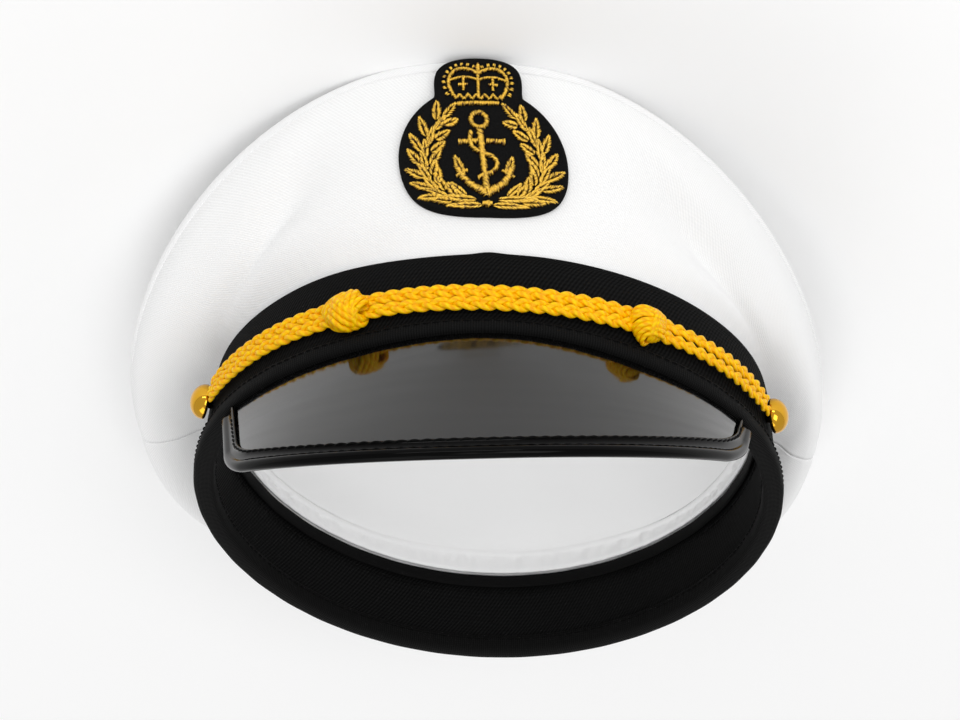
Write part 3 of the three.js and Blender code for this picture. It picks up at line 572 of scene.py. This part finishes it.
crown_panel("crown_front_cloth", "crown_front_panel", -CROWN["seam"], CROWN["seam"], 300, 62)
crown_panel("crown_back_cloth", "crown_back_panel", CROWN["seam"], 360 - CROWN["seam"], 240, 56)
top = shaped_grid("crown_top_cloth", 240, 75, crown_top, (700, 110), 0.9, 1)
dress(top, COTTON_TWILL, "crown_top_panel")

# The band and the rim: twill band, inner sweatband with its tape, and the binding folded over both
TOP, FOOT, THICK = BAND["height"], BAND["foot"], BAND["thick"]
band_section = [
    (band_out(FOOT), FOOT), (band_out(12), 12), (band_out(22), 22), (band_out(TOP - 1), TOP - 1),
    (band_out(TOP) - 0.5, TOP), (band_out(TOP) - THICK + 0.4, TOP), (band_out(TOP) - THICK, TOP - 1),
    (band_out(FOOT) - THICK, FOOT),
]


# How the band's upper edge rises: a peak in the middle of the front, and a slow wave
PEAK = dict(height=0.7, breadth=2.4, wave=0.25, waves=7, fades_from=20, fades_over=11)


def band_peak(angle, up):
    turn = np.degrees(centred(angle))
    peak = PEAK["height"] * np.exp(-(turn / PEAK["breadth"]) ** 2)
    wave = peak + PEAK["wave"] * np.sin(angle * PEAK["waves"])
    fade = np.clip((up - PEAK["fades_from"]) / PEAK["fades_over"], 0, 1)
    return wave * fade + front_rise(angle, up)


band = hoop("band_cloth", band_section, 260, lambda a: 0.12 * np.sin(a * 11 + 1), 1, band_peak)
dress(band, BLACK_TWILL, "hat_band")
inner_foot = -SWEATBAND["backset"]
inner_top = inner_foot - SWEATBAND["lean"]
sweat_section = [
    (inner_foot, FOOT), (inner_top, SWEATBAND["top"]), (inner_top - SWEATBAND["thick"], SWEATBAND["top"]),
    (inner_foot - SWEATBAND["thick"] - 1.6, 16), (inner_foot - SWEATBAND["thick"] - 0.7, 8),
    (inner_foot - SWEATBAND["thick"], FOOT),
]
dress(hoop("sweatband_cloth", sweat_section, 260, lambda a: 0.15 * np.sin(a * 13), 1, front_rise),
      BLACK_TWILL, "sweatband")
tape_top = SWEATBAND["top"] + TAPE["rise"]
tape_low = tape_top - TAPE["width"]
tape_face = inner_top - SWEATBAND["thick"] - GAP
tape_section = [
    (tape_face + 0.4, tape_low), (tape_face, tape_top), (tape_face - 0.8, tape_top + 0.1),
    (tape_face - TAPE["thick"], tape_top - 0.6),
    (tape_face - TAPE["thick"] + 0.1, tape_low + 1.4), (tape_face - TAPE["thick"] + 0.4, tape_low),
]
dress(hoop("tape_cloth", tape_section, 240, lambda a: 0.1 * np.sin(a * 29)), SATIN_TAPE,
      "sweatband_tape")
slot_in = inner_foot - SWEATBAND["thick"] - GAP
outer, inner, leg = GAP + BINDING["thick"], slot_in - BINDING["thick"], BINDING["leg"]
binding_section = [
    (GAP + band_out(leg), leg), (outer - 0.2 + band_out(leg), leg), (outer + 0.1, leg * 0.4), (outer, 0),
    (outer - BINDING["round"], -BINDING["drop"]),
    (inner + BINDING["round"], -BINDING["drop"]), (inner, 0), (inner - 0.1, leg * 0.4),
    (inner + 0.2 + band_out(leg), leg),
    (slot_in + band_out(leg), leg), (slot_in, FOOT - GAP), (GAP, FOOT - GAP),
]
dress(hoop("binding_cloth", binding_section, 260, lambda a: 0.06 * np.sin(a * 40), 1, front_rise),
      GROSGRAIN, "rim_binding")


# Stitches: short threads laid end to end along a line of points
def stitches(name, line, normals, length, gap, radius, slant=0.0):
    far = distances(line)
    starts = np.arange(0, far[-1] - length, length + gap)
    t = np.linspace(0, 1, 6)
    at = starts[:, None] + length * t
    bow = radius * (1.2 * np.sin(math.pi * t) - 0.3)
    paths = np.stack([np.interp(at, far, line[:, k]) for k in range(3)], -1)
    facing = np.stack([np.interp(at, far, normals[:, k]) for k in range(3)], -1)
    tangent = np.gradient(paths, axis=1)
    aside = np.cross(facing, tangent / np.linalg.norm(tangent, axis=-1, keepdims=True))
    paths = paths + slant * aside * (t - 0.5)[:, None]
    piece = tubes(name, paths + facing * bow[:, None],
                  radius * np.sin(math.pi * (0.12 + 0.76 * t)) ** 0.4, facing, 6)
    dress(piece, SEWING_THREAD)


ROUND = np.linspace(-math.pi, math.pi, 721)
sewn_up = SEWING["up"] + front_rise(ROUND, SEWING["up"])
sewn_in = band_out(SEWING["up"])
outer_line = rim(ROUND, outer + sewn_in + 0.02, sewn_up)
inner_line = rim(ROUND, inner + 0.1 + sewn_in, sewn_up)
sweat_line = rim(ROUND, inner_top - SWEATBAND["thick"] + 0.35, tape_low - 1.6)
for name, line, facing, length, gap in (
    ("binding_stitches_outer", outer_line, outward(ROUND), 2.2, 0.7),
    ("binding_stitches_inner", inner_line, -outward(ROUND), 2.2, 0.7),
    ("sweatband_stitches", sweat_line, -outward(ROUND), 2.4, 0.8),
):
    stitches(name, line, facing, length, gap, SEWING["radius"])


# Where the lining is creased most: angle, breadth, strength
LINING_FOLDS = [(245, 32, 1.0), (118, 26, 0.6)]


# The lining: a smooth bowl with gathers where it is sewn to the sweatband
def lining(u, v):
    angle = 2 * math.pi * u
    out = TUCK_OUT - CROWN["thick"] / 2 - GAP - LINING["thick"] / 2 - LINING["backset"]
    foot = rim(angle, out, LINING["up"])
    share = np.sin(v * math.pi / 2) ** 0.8
    in_edge = share * BAND["half_width"] / CROWN["half_width"]
    ceiling = edge_height(angle, in_edge) + CROWN["dome"] * (1 - in_edge ** 2) - LINING["hang"]
    arch = np.clip(1 - share ** LINING["fullness"], 0, 1) ** (1 / LINING["fullness"])
    gather = sum(a * np.sin(k * angle + p) for k, a, p in GATHERS) * (0.3 + 0.7 * np.sin(angle) ** 2)
    near = np.exp(-((v - 0.95) / 0.035) ** 2)
    turn = np.degrees(angle)
    folded = 0.2 + sum(a * np.exp(-((turn - at) / wide) ** 2) for at, wide, a in LINING_FOLDS)
    crease = np.exp(-((v - 0.885 - 0.008 * np.sin(9 * angle)) / 0.014) ** 2) * folded
    broad = (1.6 * np.sin(5 * angle + 1) + 1.0 * np.sin(9 * angle)) * np.clip(v * 1.4, 0, 1) * (1 - v)
    inwards = 1 - 0.006 * gather * near - 0.013 * crease
    height = foot[..., 2] + (ceiling - foot[..., 2]) * arch + broad - 0.9 * gather * near
    return np.stack([foot[..., 0] * share * inwards, foot[..., 1] * share * inwards, height], -1)


GATHERS = list(zip(rng.integers(40, 130, 14), rng.uniform(0.25, 0.6, 14), rng.uniform(0, 6.28, 14)))
dress(shaped_grid("lining_bowl", 420, 90, lining, (580, 130), LINING["thick"]), LINING_CLOTH,
      "lining")

# The visor, held in the binding along its root, and its folded edging with a sewn groove
sheet = shaped_grid("visor_sheet", 160, 60, lambda u, v: visor_surface(u, v * 1.03 - 0.03), (190, 55),
                    VISOR["thick"])
dress(sheet, GLOSS_PLASTIC, "visor")
slot = VISOR["thick"] / 2 + GAP
face = slot + EDGING["leg"]
nose = GAP + EDGING["nose"]
edging_section = np.array([
    (EDGING["width"], slot), (-GAP, slot), (-GAP, -slot), (EDGING["width"], -slot),
    (EDGING["width"] - 0.1, -face + 0.4), (4.2, -face), (0.6, -face), (-0.8, -face * 0.75), (-nose, 0),
    (-1.25, 0.95), (-0.6, 1.6), (0.3, face), (1.2, 1.65), (1.8, 1.1), (2.1, 0.98), (3.7, 0.98),
    (3.95, 1.3), (4.4, 1.6), (4.9, 1.6), (5.35, 1.3), (EDGING["width"], slot),
])
ENDS = np.array([-1.0, 1.0])
end_lengths = np.linalg.norm(visor_point(ENDS, np.ones(2)) - visor_point(ENDS, np.zeros(2)), axis=1)
begin, finish = EDGING["start"] / end_lengths


def edging_route(t):
    side = EDGING["side_share"]
    u = np.clip((t - side) / (1 - 2 * side), 0, 1)
    down = begin + (1 - begin) * t / side
    up = 1 - (1 - finish) * (t - (1 - side)) / side
    v = np.where(t < side, down, np.where(t > 1 - side, up, 1))
    return u, v


def edging_frame(t):
    step = 2e-3
    here = visor_surface(*edging_route(t))
    after = visor_surface(*edging_route(np.minimum(t + step, 1)))
    tangent = after - visor_surface(*edging_route(np.maximum(t - step, 0)))
    tangent /= np.linalg.norm(tangent, axis=-1, keepdims=True)
    u, v = edging_route(t)
    u, v = np.clip(u, 0.04, 0.96), np.minimum(v, 0.97)
    across = visor_surface(u + step, v) - visor_surface(u - step, v)
    down = visor_surface(u, v + step) - visor_surface(u, v - step)
    normal = np.cross(across, down)
    into = np.cross(tangent, normal)
    into /= np.linalg.norm(into, axis=-1, keepdims=True)
    middle = visor_surface(np.array(0.5), np.array(0.5))
    into *= np.sign(((middle - here) * into).sum(-1, keepdims=True))
    lift = np.cross(tangent, into)
    lift *= np.sign((lift * [0, -1, 0.4]).sum(-1, keepdims=True))
    return here, into, lift / np.linalg.norm(lift, axis=-1, keepdims=True)


def edging(u, v):
    here, into, lift = edging_frame(u)
    shares = np.linspace(0, 1, len(edging_section))
    reach = np.interp(v, shares, edging_section[:, 0])
    up = np.interp(v, shares, edging_section[:, 1])
    return here + into * reach[..., None] + lift * up[..., None]


dress(shaped_grid("edging_fold", 200, len(edging_section) - 1, edging, (210, 22), rounds=1), VINYL,
      "visor_edging")
along = np.linspace(0.02, 0.98, 600)
here, into, lift = edging_frame(along)
stitches("visor_stitches", here + into * 4.4 + lift * 1.45, lift, 3.4, 0.1, 0.34, 0.4)


# How the two cords are drawn together at the knots and the ends, and lie apart beyond the right knot
DRAWN = dict(breadth=3.2, ends_from=56, ends_over=12, pinch=0.22, ends=0.25, apart=0.06)


# The gold cord: two plaits of three strands side by side, drawn together by the knots and at the ends
def cord_line(side, degrees):
    pinch = sum(np.exp(-((degrees - at) / DRAWN["breadth"]) ** 2) for at in KNOTS.values())
    ends = np.clip((np.abs(degrees) - DRAWN["ends_from"]) / DRAWN["ends_over"], 0, 1)
    apart = np.clip((degrees - 38) / 6, 0, 1) * np.clip((64 - degrees) / 8, 0, 1)
    spread = 1 - DRAWN["pinch"] * pinch - DRAWN["ends"] * ends ** 2 + DRAWN["apart"] * apart
    up = CORD["up"] + side * CORD["pitch"] / 2 * spread
    out = band_out(up) + GAP + CORD["diameter"] / 2
    return rim(np.radians(degrees), out, up)


PLAIT = dict(lay=13.8, swing=1.32, rise=0.55, strand=0.9, strands=3, sides=10, flat=0.78)


def plait(name, replaced, side):
    degrees = np.linspace(-CORD["end"], CORD["end"], 700)
    line = cord_line(side, degrees)
    far = distances(line)
    tangent = np.gradient(line, axis=0)
    tangent /= np.linalg.norm(tangent, axis=1, keepdims=True)
    out = outward(np.radians(degrees))
    up = np.cross(out, tangent)
    tight = 1 - 0.1 * np.clip((degrees - 34) / 6, 0, 1) - 0.08 * np.clip((-degrees - 50) / 10, 0, 1)
    slack = 1 + 0.06 * np.sin(far / 7.3 + side)
    paths = []
    for k in range(PLAIT["strands"]):
        laid = far / PLAIT["lay"] + k / PLAIT["strands"] + 0.21 * side
        turn = 2 * math.pi * laid + 0.25 * np.sin(far / 19 + 2 * side)
        across = np.sin(turn) * PLAIT["swing"] * tight * slack
        proud = np.sin(2 * turn) * PLAIT["rise"] * tight
        paths.append(line + across[:, None] * up + proud[:, None] * out)
    normals = np.broadcast_to(out, (PLAIT["strands"],) + out.shape)
    dress(tubes(name, paths, PLAIT["strand"] * tight, normals, PLAIT["sides"], PLAIT["flat"]), RAYON_CORD,
          replaced)


plait("plait_upper", "cord_upper", 1)
plait("plait_lower", "cord_lower", -1)


# A knot: bundles of strand wound round the cords in crossing loops, each bundle over the one before.
# Bundles: slant of the loops in degrees, middle of the bundle across the loops, reach outwards, strands
BUNDLES = {
    "knot_left": [(70, 2.9, 4.2, 4), (62, -2.8, 4.3, 4), (146, -2.4, 4.9, 4), (100, 3.2, 4.8, 2)],
    "knot_right": [(104, 2.8, 4.3, 4), (24, 2.6, 4.5, 4), (16, -2.9, 4.6, 3), (96, 1.0, 5.0, 2)],
}

# The loops of a knot: how far their middle stands out and sits below the cords, and their sizes
LOOP = dict(stand=1.0, painted_end_shade=1.0, spacing=1.6, ball=7.0, behind=2.4, weave=0.7, reach=5.6,
            strand=0.88, flat=0.9)


def knot(name, replaced, degrees, size):
    turn = np.linspace(0, 2 * math.pi, 49)
    stand = GAP + CORD["diameter"] / 2 + LOOP["stand"]
    at = np.radians(np.array([degrees]))
    centre = rim(at, band_out(CORD["up"]) + stand, CORD["up"] - LOOP["painted_end_shade"])[0]
    out = outward(at)[0]
    ahead = np.cross(np.array([0, 0, 1.0]), out)
    up = np.cross(out, ahead)
    paths, normals = [], []
    for slant, middle, reach, strands in BUNDLES[replaced]:
        way = math.cos(math.radians(slant)) * ahead + math.sin(math.radians(slant)) * up
        across = math.sin(math.radians(slant)) * ahead - math.cos(math.radians(slant)) * up
        for k in range(strands):
            aside = size * (middle + (k - (strands - 1) / 2) * LOOP["spacing"])
            swell = size * math.sqrt(max(1 - (aside / LOOP["ball"] / size) ** 2, 0.1))
            ahead_of = np.cos(turn) * reach * swell
            proud = np.where(np.cos(turn) > 0, ahead_of, np.cos(turn) * LOOP["behind"])
            bend = LOOP["weave"] * np.sin(2 * turn) + rng.normal(0, 0.1)
            spoke = proud[:, None] * out + (np.sin(turn) * LOOP["reach"] * swell)[:, None] * way
            paths.append(centre + spoke + (aside + bend)[:, None] * across)
            normals.append(spoke + 1e-3 * across)
    normals = np.array(normals)
    normals /= np.linalg.norm(normals, axis=-1, keepdims=True)
    dress(tubes(name, paths, LOOP["strand"] * size, normals, PLAIT["sides"], LOOP["flat"]), RAYON_CORD,
          replaced)


# A domed button turned on its post
def button(name, replaced, side):
    angle = np.array([side * math.radians(BUTTON["angle"])])
    foot = rim(angle, band_out(CORD["up"]), CORD["up"])[0]
    out = outward(angle)[0]
    ahead = np.cross(np.array([0, 0, 1.0]), out)
    up = np.cross(out, ahead)
    dome = np.linspace(0, math.pi / 2, 14)
    radius, shank, stand = BUTTON["radius"], BUTTON["shank"], BUTTON["stand"]
    crest = stand + BUTTON["rim"]
    under = [
        (0, GAP), (shank, GAP), (shank, stand + 0.6),
        (radius - 0.9, stand + 0.3), (radius - 0.3, stand), (radius, stand + 0.3),
    ]
    over = [(radius * math.cos(t), crest + BUTTON["dome"] * math.sin(t)) for t in dome]
    profile = np.array(under + over)
    shares = np.linspace(0, 1, len(profile))

    def surface(u, v):
        turn = 2 * math.pi * u
        reach, height = np.interp(v, shares, profile[:, 0]), np.interp(v, shares, profile[:, 1])
        spoke = np.cos(turn)[:, None] * ahead + np.sin(turn)[:, None] * up
        return foot + spoke * reach[:, None] + out * height[:, None]

    dress(shaped_grid(name, 48, len(profile) - 1, surface, (33, 12)), BRASS, replaced)


knot("loops_left", "knot_left", KNOTS["left"], 0.98)
knot("loops_right", "knot_right", KNOTS["right"], 0.86)
button("dome_left", "button_left", -1)
button("dome_right", "button_right", 1)

# The badge: drawn flat with X across and Y up from its foot, then laid on the crown's front
FRONT_HEIGHT = edge_height(np.array(0.0)) - BAND["height"] - CROWN["clear"]


def on_front(x, y, out, sag):
    angle = x / (BADGE["foot_radius"] + BADGE["flare"] * y)
    high = y / BADGE["height"]
    y = y - sag * high * (1 - high)
    risen = BADGE["bottom"] - CROWN["clear"] + y * BADGE["squash"]
    share = TUCK_SHARE + (1 - TUCK_SHARE) * risen / FRONT_HEIGHT
    held = np.minimum(share, 1)
    step = 1e-3
    point = crown_side(angle, held)
    below = crown_side(angle, held - step)
    point = point + (point - below) * ((share - held) / step)[..., None]
    lean = BADGE["proud"] * y / FRONT_HEIGHT
    return point + outward(angle) * (CROWN["thick"] / 2 + GAP + lean + out)[..., None]


def bezier(points, steps):
    return cubic(np.linspace(0, 1, steps)[:, None], *np.array(points, float))


half = np.concatenate([
    bezier([(0, 0), (20, -0.4), (25.4, 8), (25, 20)], 60),
    bezier([(25, 20), (24.6, 29), (19, 35.6), (12.8, 39)], 40)[1:],
    bezier([(12.8, 39), (12.2, 41), (13.4, 44), (12, 48)], 24)[1:],
    bezier([(12, 48), (10, 52), (5, 52.6), (0, 52.6)], 30)[1:],
])
outline = np.concatenate([half, half[-2::-1] * [-1, 1]])
outline_far = distances(outline)


# The felt: its face out to the edge, a wall, and a closed back, as shares of the grid
BACKING = dict(face=0.8, wall=0.06, back=0.14, middle=24)


def badge_backing(u, v):
    edge = np.stack([np.interp(u * outline_far[-1], outline_far, outline[:, k]) for k in (0, 1)], -1)
    middle = np.array([0, BACKING["middle"]])
    reach = np.clip(np.minimum(v / BACKING["face"], (1 - v) / BACKING["back"]), 0, 1)
    flat = middle + (edge - middle) * reach[..., None]
    wall = np.clip((v - BACKING["face"]) / BACKING["wall"], 0, 1)
    rolled = 0.35 * np.exp(-((reach - 0.955) / 0.03) ** 2) - 0.5 * np.clip((reach - 0.985) / 0.015, 0, 1)
    return on_front(flat[..., 0], flat[..., 1], (BADGE["thick"] + rolled) * (1 - wall), BADGE["felt_sag"])


dress(shaped_grid("badge_felt", 260, 50, badge_backing, (170, 30)), FELT, "badge_backing")


# Stitches of the badge: gold threads from start to end, bowed up over their padding
class Embroidery:
    def __init__(self):
        self.starts, self.ends, self.bows = [], [], []

    def lay(self, start, end, bow):
        start, end = np.atleast_2d(start), np.atleast_2d(end)
        self.starts.append(start)
        self.ends.append(end)
        self.bows.append(np.full(len(start), bow))

    # Satin stitch across a line of points
    def satin(self, line, width, slant=0.35, spacing=0.46, bow=0.55):
        line = np.array(line, float)
        far = distances(line)
        at = np.arange(spacing / 2, far[-1], spacing)

        def walk(reach):
            return np.stack([np.interp(reach, far, line[:, k]) for k in (0, 1)], -1)

        place = walk(at)
        way = walk(at + 0.05) - walk(at - 0.05)
        way /= np.linalg.norm(way, axis=1, keepdims=True) + 1e-9
        aside = np.stack([-way[:, 1], way[:, 0]], -1)
        wide = np.interp(at / far[-1], np.linspace(0, 1, np.size(width)), np.atleast_1d(width))[:, None]
        wide = wide * rng.uniform(0.88, 1.12, wide.shape)
        self.lay(place - aside * wide / 2 - way * slant * wide / 2,
                 place + aside * wide / 2 + way * slant * wide / 2, bow)

    # A leaf: threads that slant from the midrib to both edges
    def leaf(self, base, tip, width, threads=9):
        base, tip = np.array(base, float), np.array(tip, float)
        way = tip - base
        length = np.linalg.norm(way)
        way /= length
        s = np.linspace(0.1, 0.98, threads)
        for side in (-1, 1):
            aside = side * np.array([-way[1], way[0]])
            reach = width / 2 * np.sin(math.pi * s ** 0.75) ** 0.8 + 0.12
            rib = base + way * (length * np.clip(s - 0.2, 0, 1))[:, None] + aside * 0.1
            edge = base + way * (length * np.minimum(s + 0.04, 1))[:, None] + aside * reach[:, None]
            self.lay(rib, edge + rng.normal(0, 0.08, edge.shape), 0.4)

    def piece(self, name, replaced):
        starts, ends = np.concatenate(self.starts), np.concatenate(self.ends)
        bows = np.concatenate(self.bows)
        t = np.linspace(0, 1, 6)
        flat = starts[:, None] + (ends - starts)[:, None] * t[:, None]
        uneven = rng.uniform(0, 0.12, (len(starts), 1))
        out = BADGE["thick"] + 0.1 + bows[:, None] * np.sin(math.pi * t) ** 0.7 + uneven
        shape = flat.shape[:2]
        points = on_front(flat[..., 0].ravel(), flat[..., 1].ravel(), out.ravel(),
                          BADGE["thread_sag"]).reshape(shape + (3,))
        normals = outward(flat[..., 0] / BADGE["foot_radius"])
        taper = np.sin(math.pi * (0.1 + 0.8 * t)) ** 0.5
        dress(tubes(name, points, 0.26 * taper, normals, 6), GOLD_THREAD, replaced)


def ring_line(x, y, radius, steps=40):
    turn = np.radians(np.linspace(0, 360, steps))
    return np.stack([x + radius * np.cos(turn), y + radius * np.sin(turn)], -1)


anchor = Embroidery()
anchor.satin(ring_line(-0.4, 32.3, 2.3), 1.6, 0.2)
anchor.satin([(-0.4, 29.3), (0.1, 9.6)], 2.1, 0.5)
anchor.satin([(-6.2, 25.6), (-1.2, 25.8)], [1.5, 1.9], 0.1)
anchor.satin([(1.2, 25.8), (6.0, 25.8)], [1.9, 1.4], 0.1)
anchor.satin([(-6.9, 25.6), (-6.0, 25.6)], 2.2, 0.1)
anchor.satin([(5.8, 25.8), (6.8, 25.8)], 2.2, 0.1)
for side in (-1, 1):
    arm = bezier([(side * 0.2, 9.0), (side * 4.4, 10.4), (side * 6.8, 13.6), (side * 7.8, 17.4)], 30)
    anchor.satin(arm, [3.2, 2.8, 2.3, 1.8], 0.1)
    anchor.leaf((side * 6.5, 14.6), (side * 8.5, 21.4), 2.9, 10)
    anchor.satin([(side * 5.0, 16.4), (side * 8.6, 14.4)], 1.0, 0.3)
    anchor.satin([(side * 3.4, 10.6), (0, 7.8)], [1.6, 2.6], 0.2)
rope = np.array([
    (-2.9, 28.6), (-3.6, 26.4), (-3.2, 24.0), (-1.6, 22.4), (0.4, 21.6), (2.4, 21.0),
    (3.9, 19.2), (3.4, 17.0), (1.8, 15.4), (-0.6, 14.6), (-2.4, 13.4),
])
knots = np.arange(len(rope))
fine = np.linspace(0, knots[-1], 80)
anchor.satin(np.stack([np.interp(fine, knots, rope[:, k]) for k in (0, 1)], -1), 1.5, 0.6, 0.5, 0.8)
anchor.piece("anchor_stitches", "badge_anchor")

# The wreath: sprigs of leaves along both edges of a stem and over it, tied by a knot at the foot
WREATH = dict(pairs=8, leaf=7.4, width=2.7, spread=36, first=0.2, last=0.96)
FOOT_LEAVES = [
    ((1.6, 3.6), (12.6, 3.9), 2.3),
    ((3.2, 5.8), (15.6, 7.6), 2.5),
    ((6.2, 7.4), (10.6, 12.6), 2.0),
]
for name, replaced, side in (("sprig_left", "badge_wreath_left", -1),
                             ("sprig_right", "badge_wreath_right", 1)):
    sprig = Embroidery()
    stem = bezier([(side * 1.4, 4.4), (side * 17, 4.6), (side * 22.6, 20), (side * 10.4, 33.2)], 200)
    sprig.satin(stem[6:], [0.7, 0.5], 0.8, 0.6, 0.3)
    for i in range(WREATH["pairs"] * 2 - 1):
        share = WREATH["first"] + (WREATH["last"] - WREATH["first"]) * i / (WREATH["pairs"] * 2 - 2)
        at = int(share * 198)
        way = stem[min(at + 2, 199)] - stem[max(at - 2, 0)]
        heading = math.atan2(way[1], way[0])
        for edge in ((-1, 1) if i % 2 == 0 else (0,)):
            open_by = WREATH["spread"] * (0.45 if i == 0 and edge != side else 1)
            turn = heading + edge * math.radians(open_by) + math.radians(rng.uniform(-6, 6))
            length = WREATH["leaf"] * rng.uniform(0.9, 1.05)
            length = length * (0.8 if edge == side else 1.0) * (1 - 0.25 * share ** 3)
            ahead = np.array([math.cos(turn), math.sin(turn)])
            base = stem[at] + ahead * 0.7 + edge * np.array([-way[1], way[0]]) / np.linalg.norm(way)
            sprig.leaf(base, base + length * ahead, WREATH["width"] * (1 if edge else 0.8), 10)
    for base, end, width in FOOT_LEAVES:
        sprig.leaf(np.array(base) * [side, 1], np.array(end) * [side, 1], width, 13)
    tip = stem[-1] - stem[-4]
    sprig.leaf(stem[-1], stem[-1] + tip / np.linalg.norm(tip) * 6, 2.4, 8)
    if side == 1:
        sprig.satin([(-1.5, 4.3), (1.5, 4.3)], [1.6, 3.0, 1.6], 0.1, 0.42, 0.9)
    sprig.piece(name, replaced)

# The badge's crown: a zigzag base, two arches with beads along them, a middle bar and a finial
regal = Embroidery()
regal.satin([(-6.2, 37.3), (5.6, 37.6)], 1.3, 0.1)
zigzag = [(-6.6 + 1.2 * i, 38.6 + 1.5 * (i % 2)) for i in range(12)]
regal.satin(zigzag, 0.75, 0.2, 0.5)
for side in (-1, 1):
    arch = bezier([(side * 6.2, 38.8), (side * 11.6, 45.4), (side * 6.0, 51.6), (side * 0.2, 46.8)], 80)
    regal.satin(arch, 1.15, 0.2)
    swag = bezier([(side * 8.0, 44.6), (side * 5.0, 46.0), (side * 2.6, 45.8), (0, 44.6)], 30)
    regal.satin(swag, 0.7, 0.3)
    regal.satin([(side * 4.2, 45.4), (side * 4.2, 41.4)], 0.8, 0.2)
    regal.satin([(side * 2.9, 43.2), (side * 5.6, 43.2)], 0.8, 0.2)
    for k in range(8, 74, 7):
        way = arch[k + 1] - arch[k - 1]
        off = np.array([way[1], -way[0]]) * side / np.linalg.norm(way)
        regal.lay([arch[k] + off * 0.7, arch[k] + off * 0.8 + way],
                  [arch[k] + off * 2.0, arch[k] + off * 2.0 + way], 0.35)
regal.satin([(0, 38.8), (0, 46.8)], 1.0, 0.3)
regal.satin([(0, 46.6), (0, 50.4)], [1.9, 1.5, 0.6], 0.1)
regal.piece("crown_stitches", "badge_crown")

# The table and the light: a white sweep under soft boxes. Size in metres
FLOOR_SIZE = 8
SKY_STRENGTH = 0.625
bpy.ops.object.select_all(action="DESELECT")
bpy.ops.mesh.primitive_plane_add(size=FLOOR_SIZE)
floor = bpy.context.object
floor.name = "floor"
paper, _, _ = material("floor_paper_white", Base_Color=linear("#ffffff"), Roughness=0.9)
floor.data.materials.append(paper)
floor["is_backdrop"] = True

world = bpy.context.scene.world or bpy.data.worlds.new("studio")
bpy.context.scene.world = world
world.use_nodes = True
sky = world.node_tree.nodes["Background"]
sky.inputs["Color"].default_value = (1, 1, 1, 1)
sky.inputs["Strength"].default_value = SKY_STRENGTH

# Soft boxes: name, place in metres, size in metres, watts
SOFT_BOXES = [
    ("key_box", (-0.5, -0.9, 1.1), (0.8, 0.8), 5.5),
    ("low_strip", (0.1, -1.1, 0.25), (0.8, 0.07), 1.6),
    ("top_box", (0.3, 0.3, 1.4), (1.0, 1.0), 4.4),
]
for name, place, size, watts in SOFT_BOXES:
    lamp = bpy.data.lights.new(name, "AREA")
    lamp.shape = "RECTANGLE"
    lamp.size, lamp.size_y = size
    lamp.energy = watts
    box = bpy.data.objects.new(name, lamp)
    box.location = place
    box.rotation_euler = (Vector((0, 0, 0.06)) - Vector(place)).to_track_quat("-Z", "Y").to_euler()
    bpy.context.scene.collection.objects.link(box)

# The camera: below the upright hat's rim, as the photograph was taken, turned over with the hat
VIEW = dict(below=31.5, roll=-2.3, turn=-1.7, distance=900, focal=2919.6, aside=2.3, up=-47, pixels=960,
            sensor=36)


def spin(degrees):
    c, s = math.cos(math.radians(degrees)), math.sin(math.radians(degrees))
    return np.array([[c, -s, 0], [s, c, 0], [0, 0, 1]])


low = math.radians(VIEW["below"])
axes = np.array([[1, 0, 0], [0, -math.sin(low), math.cos(low)], [0, math.cos(low), math.sin(low)]])
axes = spin(VIEW["roll"]) @ axes @ spin(VIEW["turn"])
eye = axes.T @ np.array([-VIEW["aside"], -VIEW["up"], -VIEW["distance"]])
lens = bpy.data.cameras.new("camera")
lens.sensor_width = VIEW["sensor"]
lens.lens = VIEW["focal"] / VIEW["pixels"] * VIEW["sensor"]
lens.clip_start = 0.01
camera = bpy.data.objects.new("camera", lens)
pose = np.eye(4)
pose[:3, :3] = TURN @ np.stack([axes[0], axes[1], -axes[2]], 1)
pose[:3, 3] = placed(eye)
camera.matrix_world = Matrix(pose.tolist())
bpy.context.scene.collection.objects.link(camera)
bpy.context.scene.camera = camera

# The photograph's plain tones, with paper that stays white
bpy.context.scene.view_settings.view_transform = "Standard"

size = {"cad": [list(corner) for corner in cad_box], "visual": [list(corner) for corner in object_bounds()]}
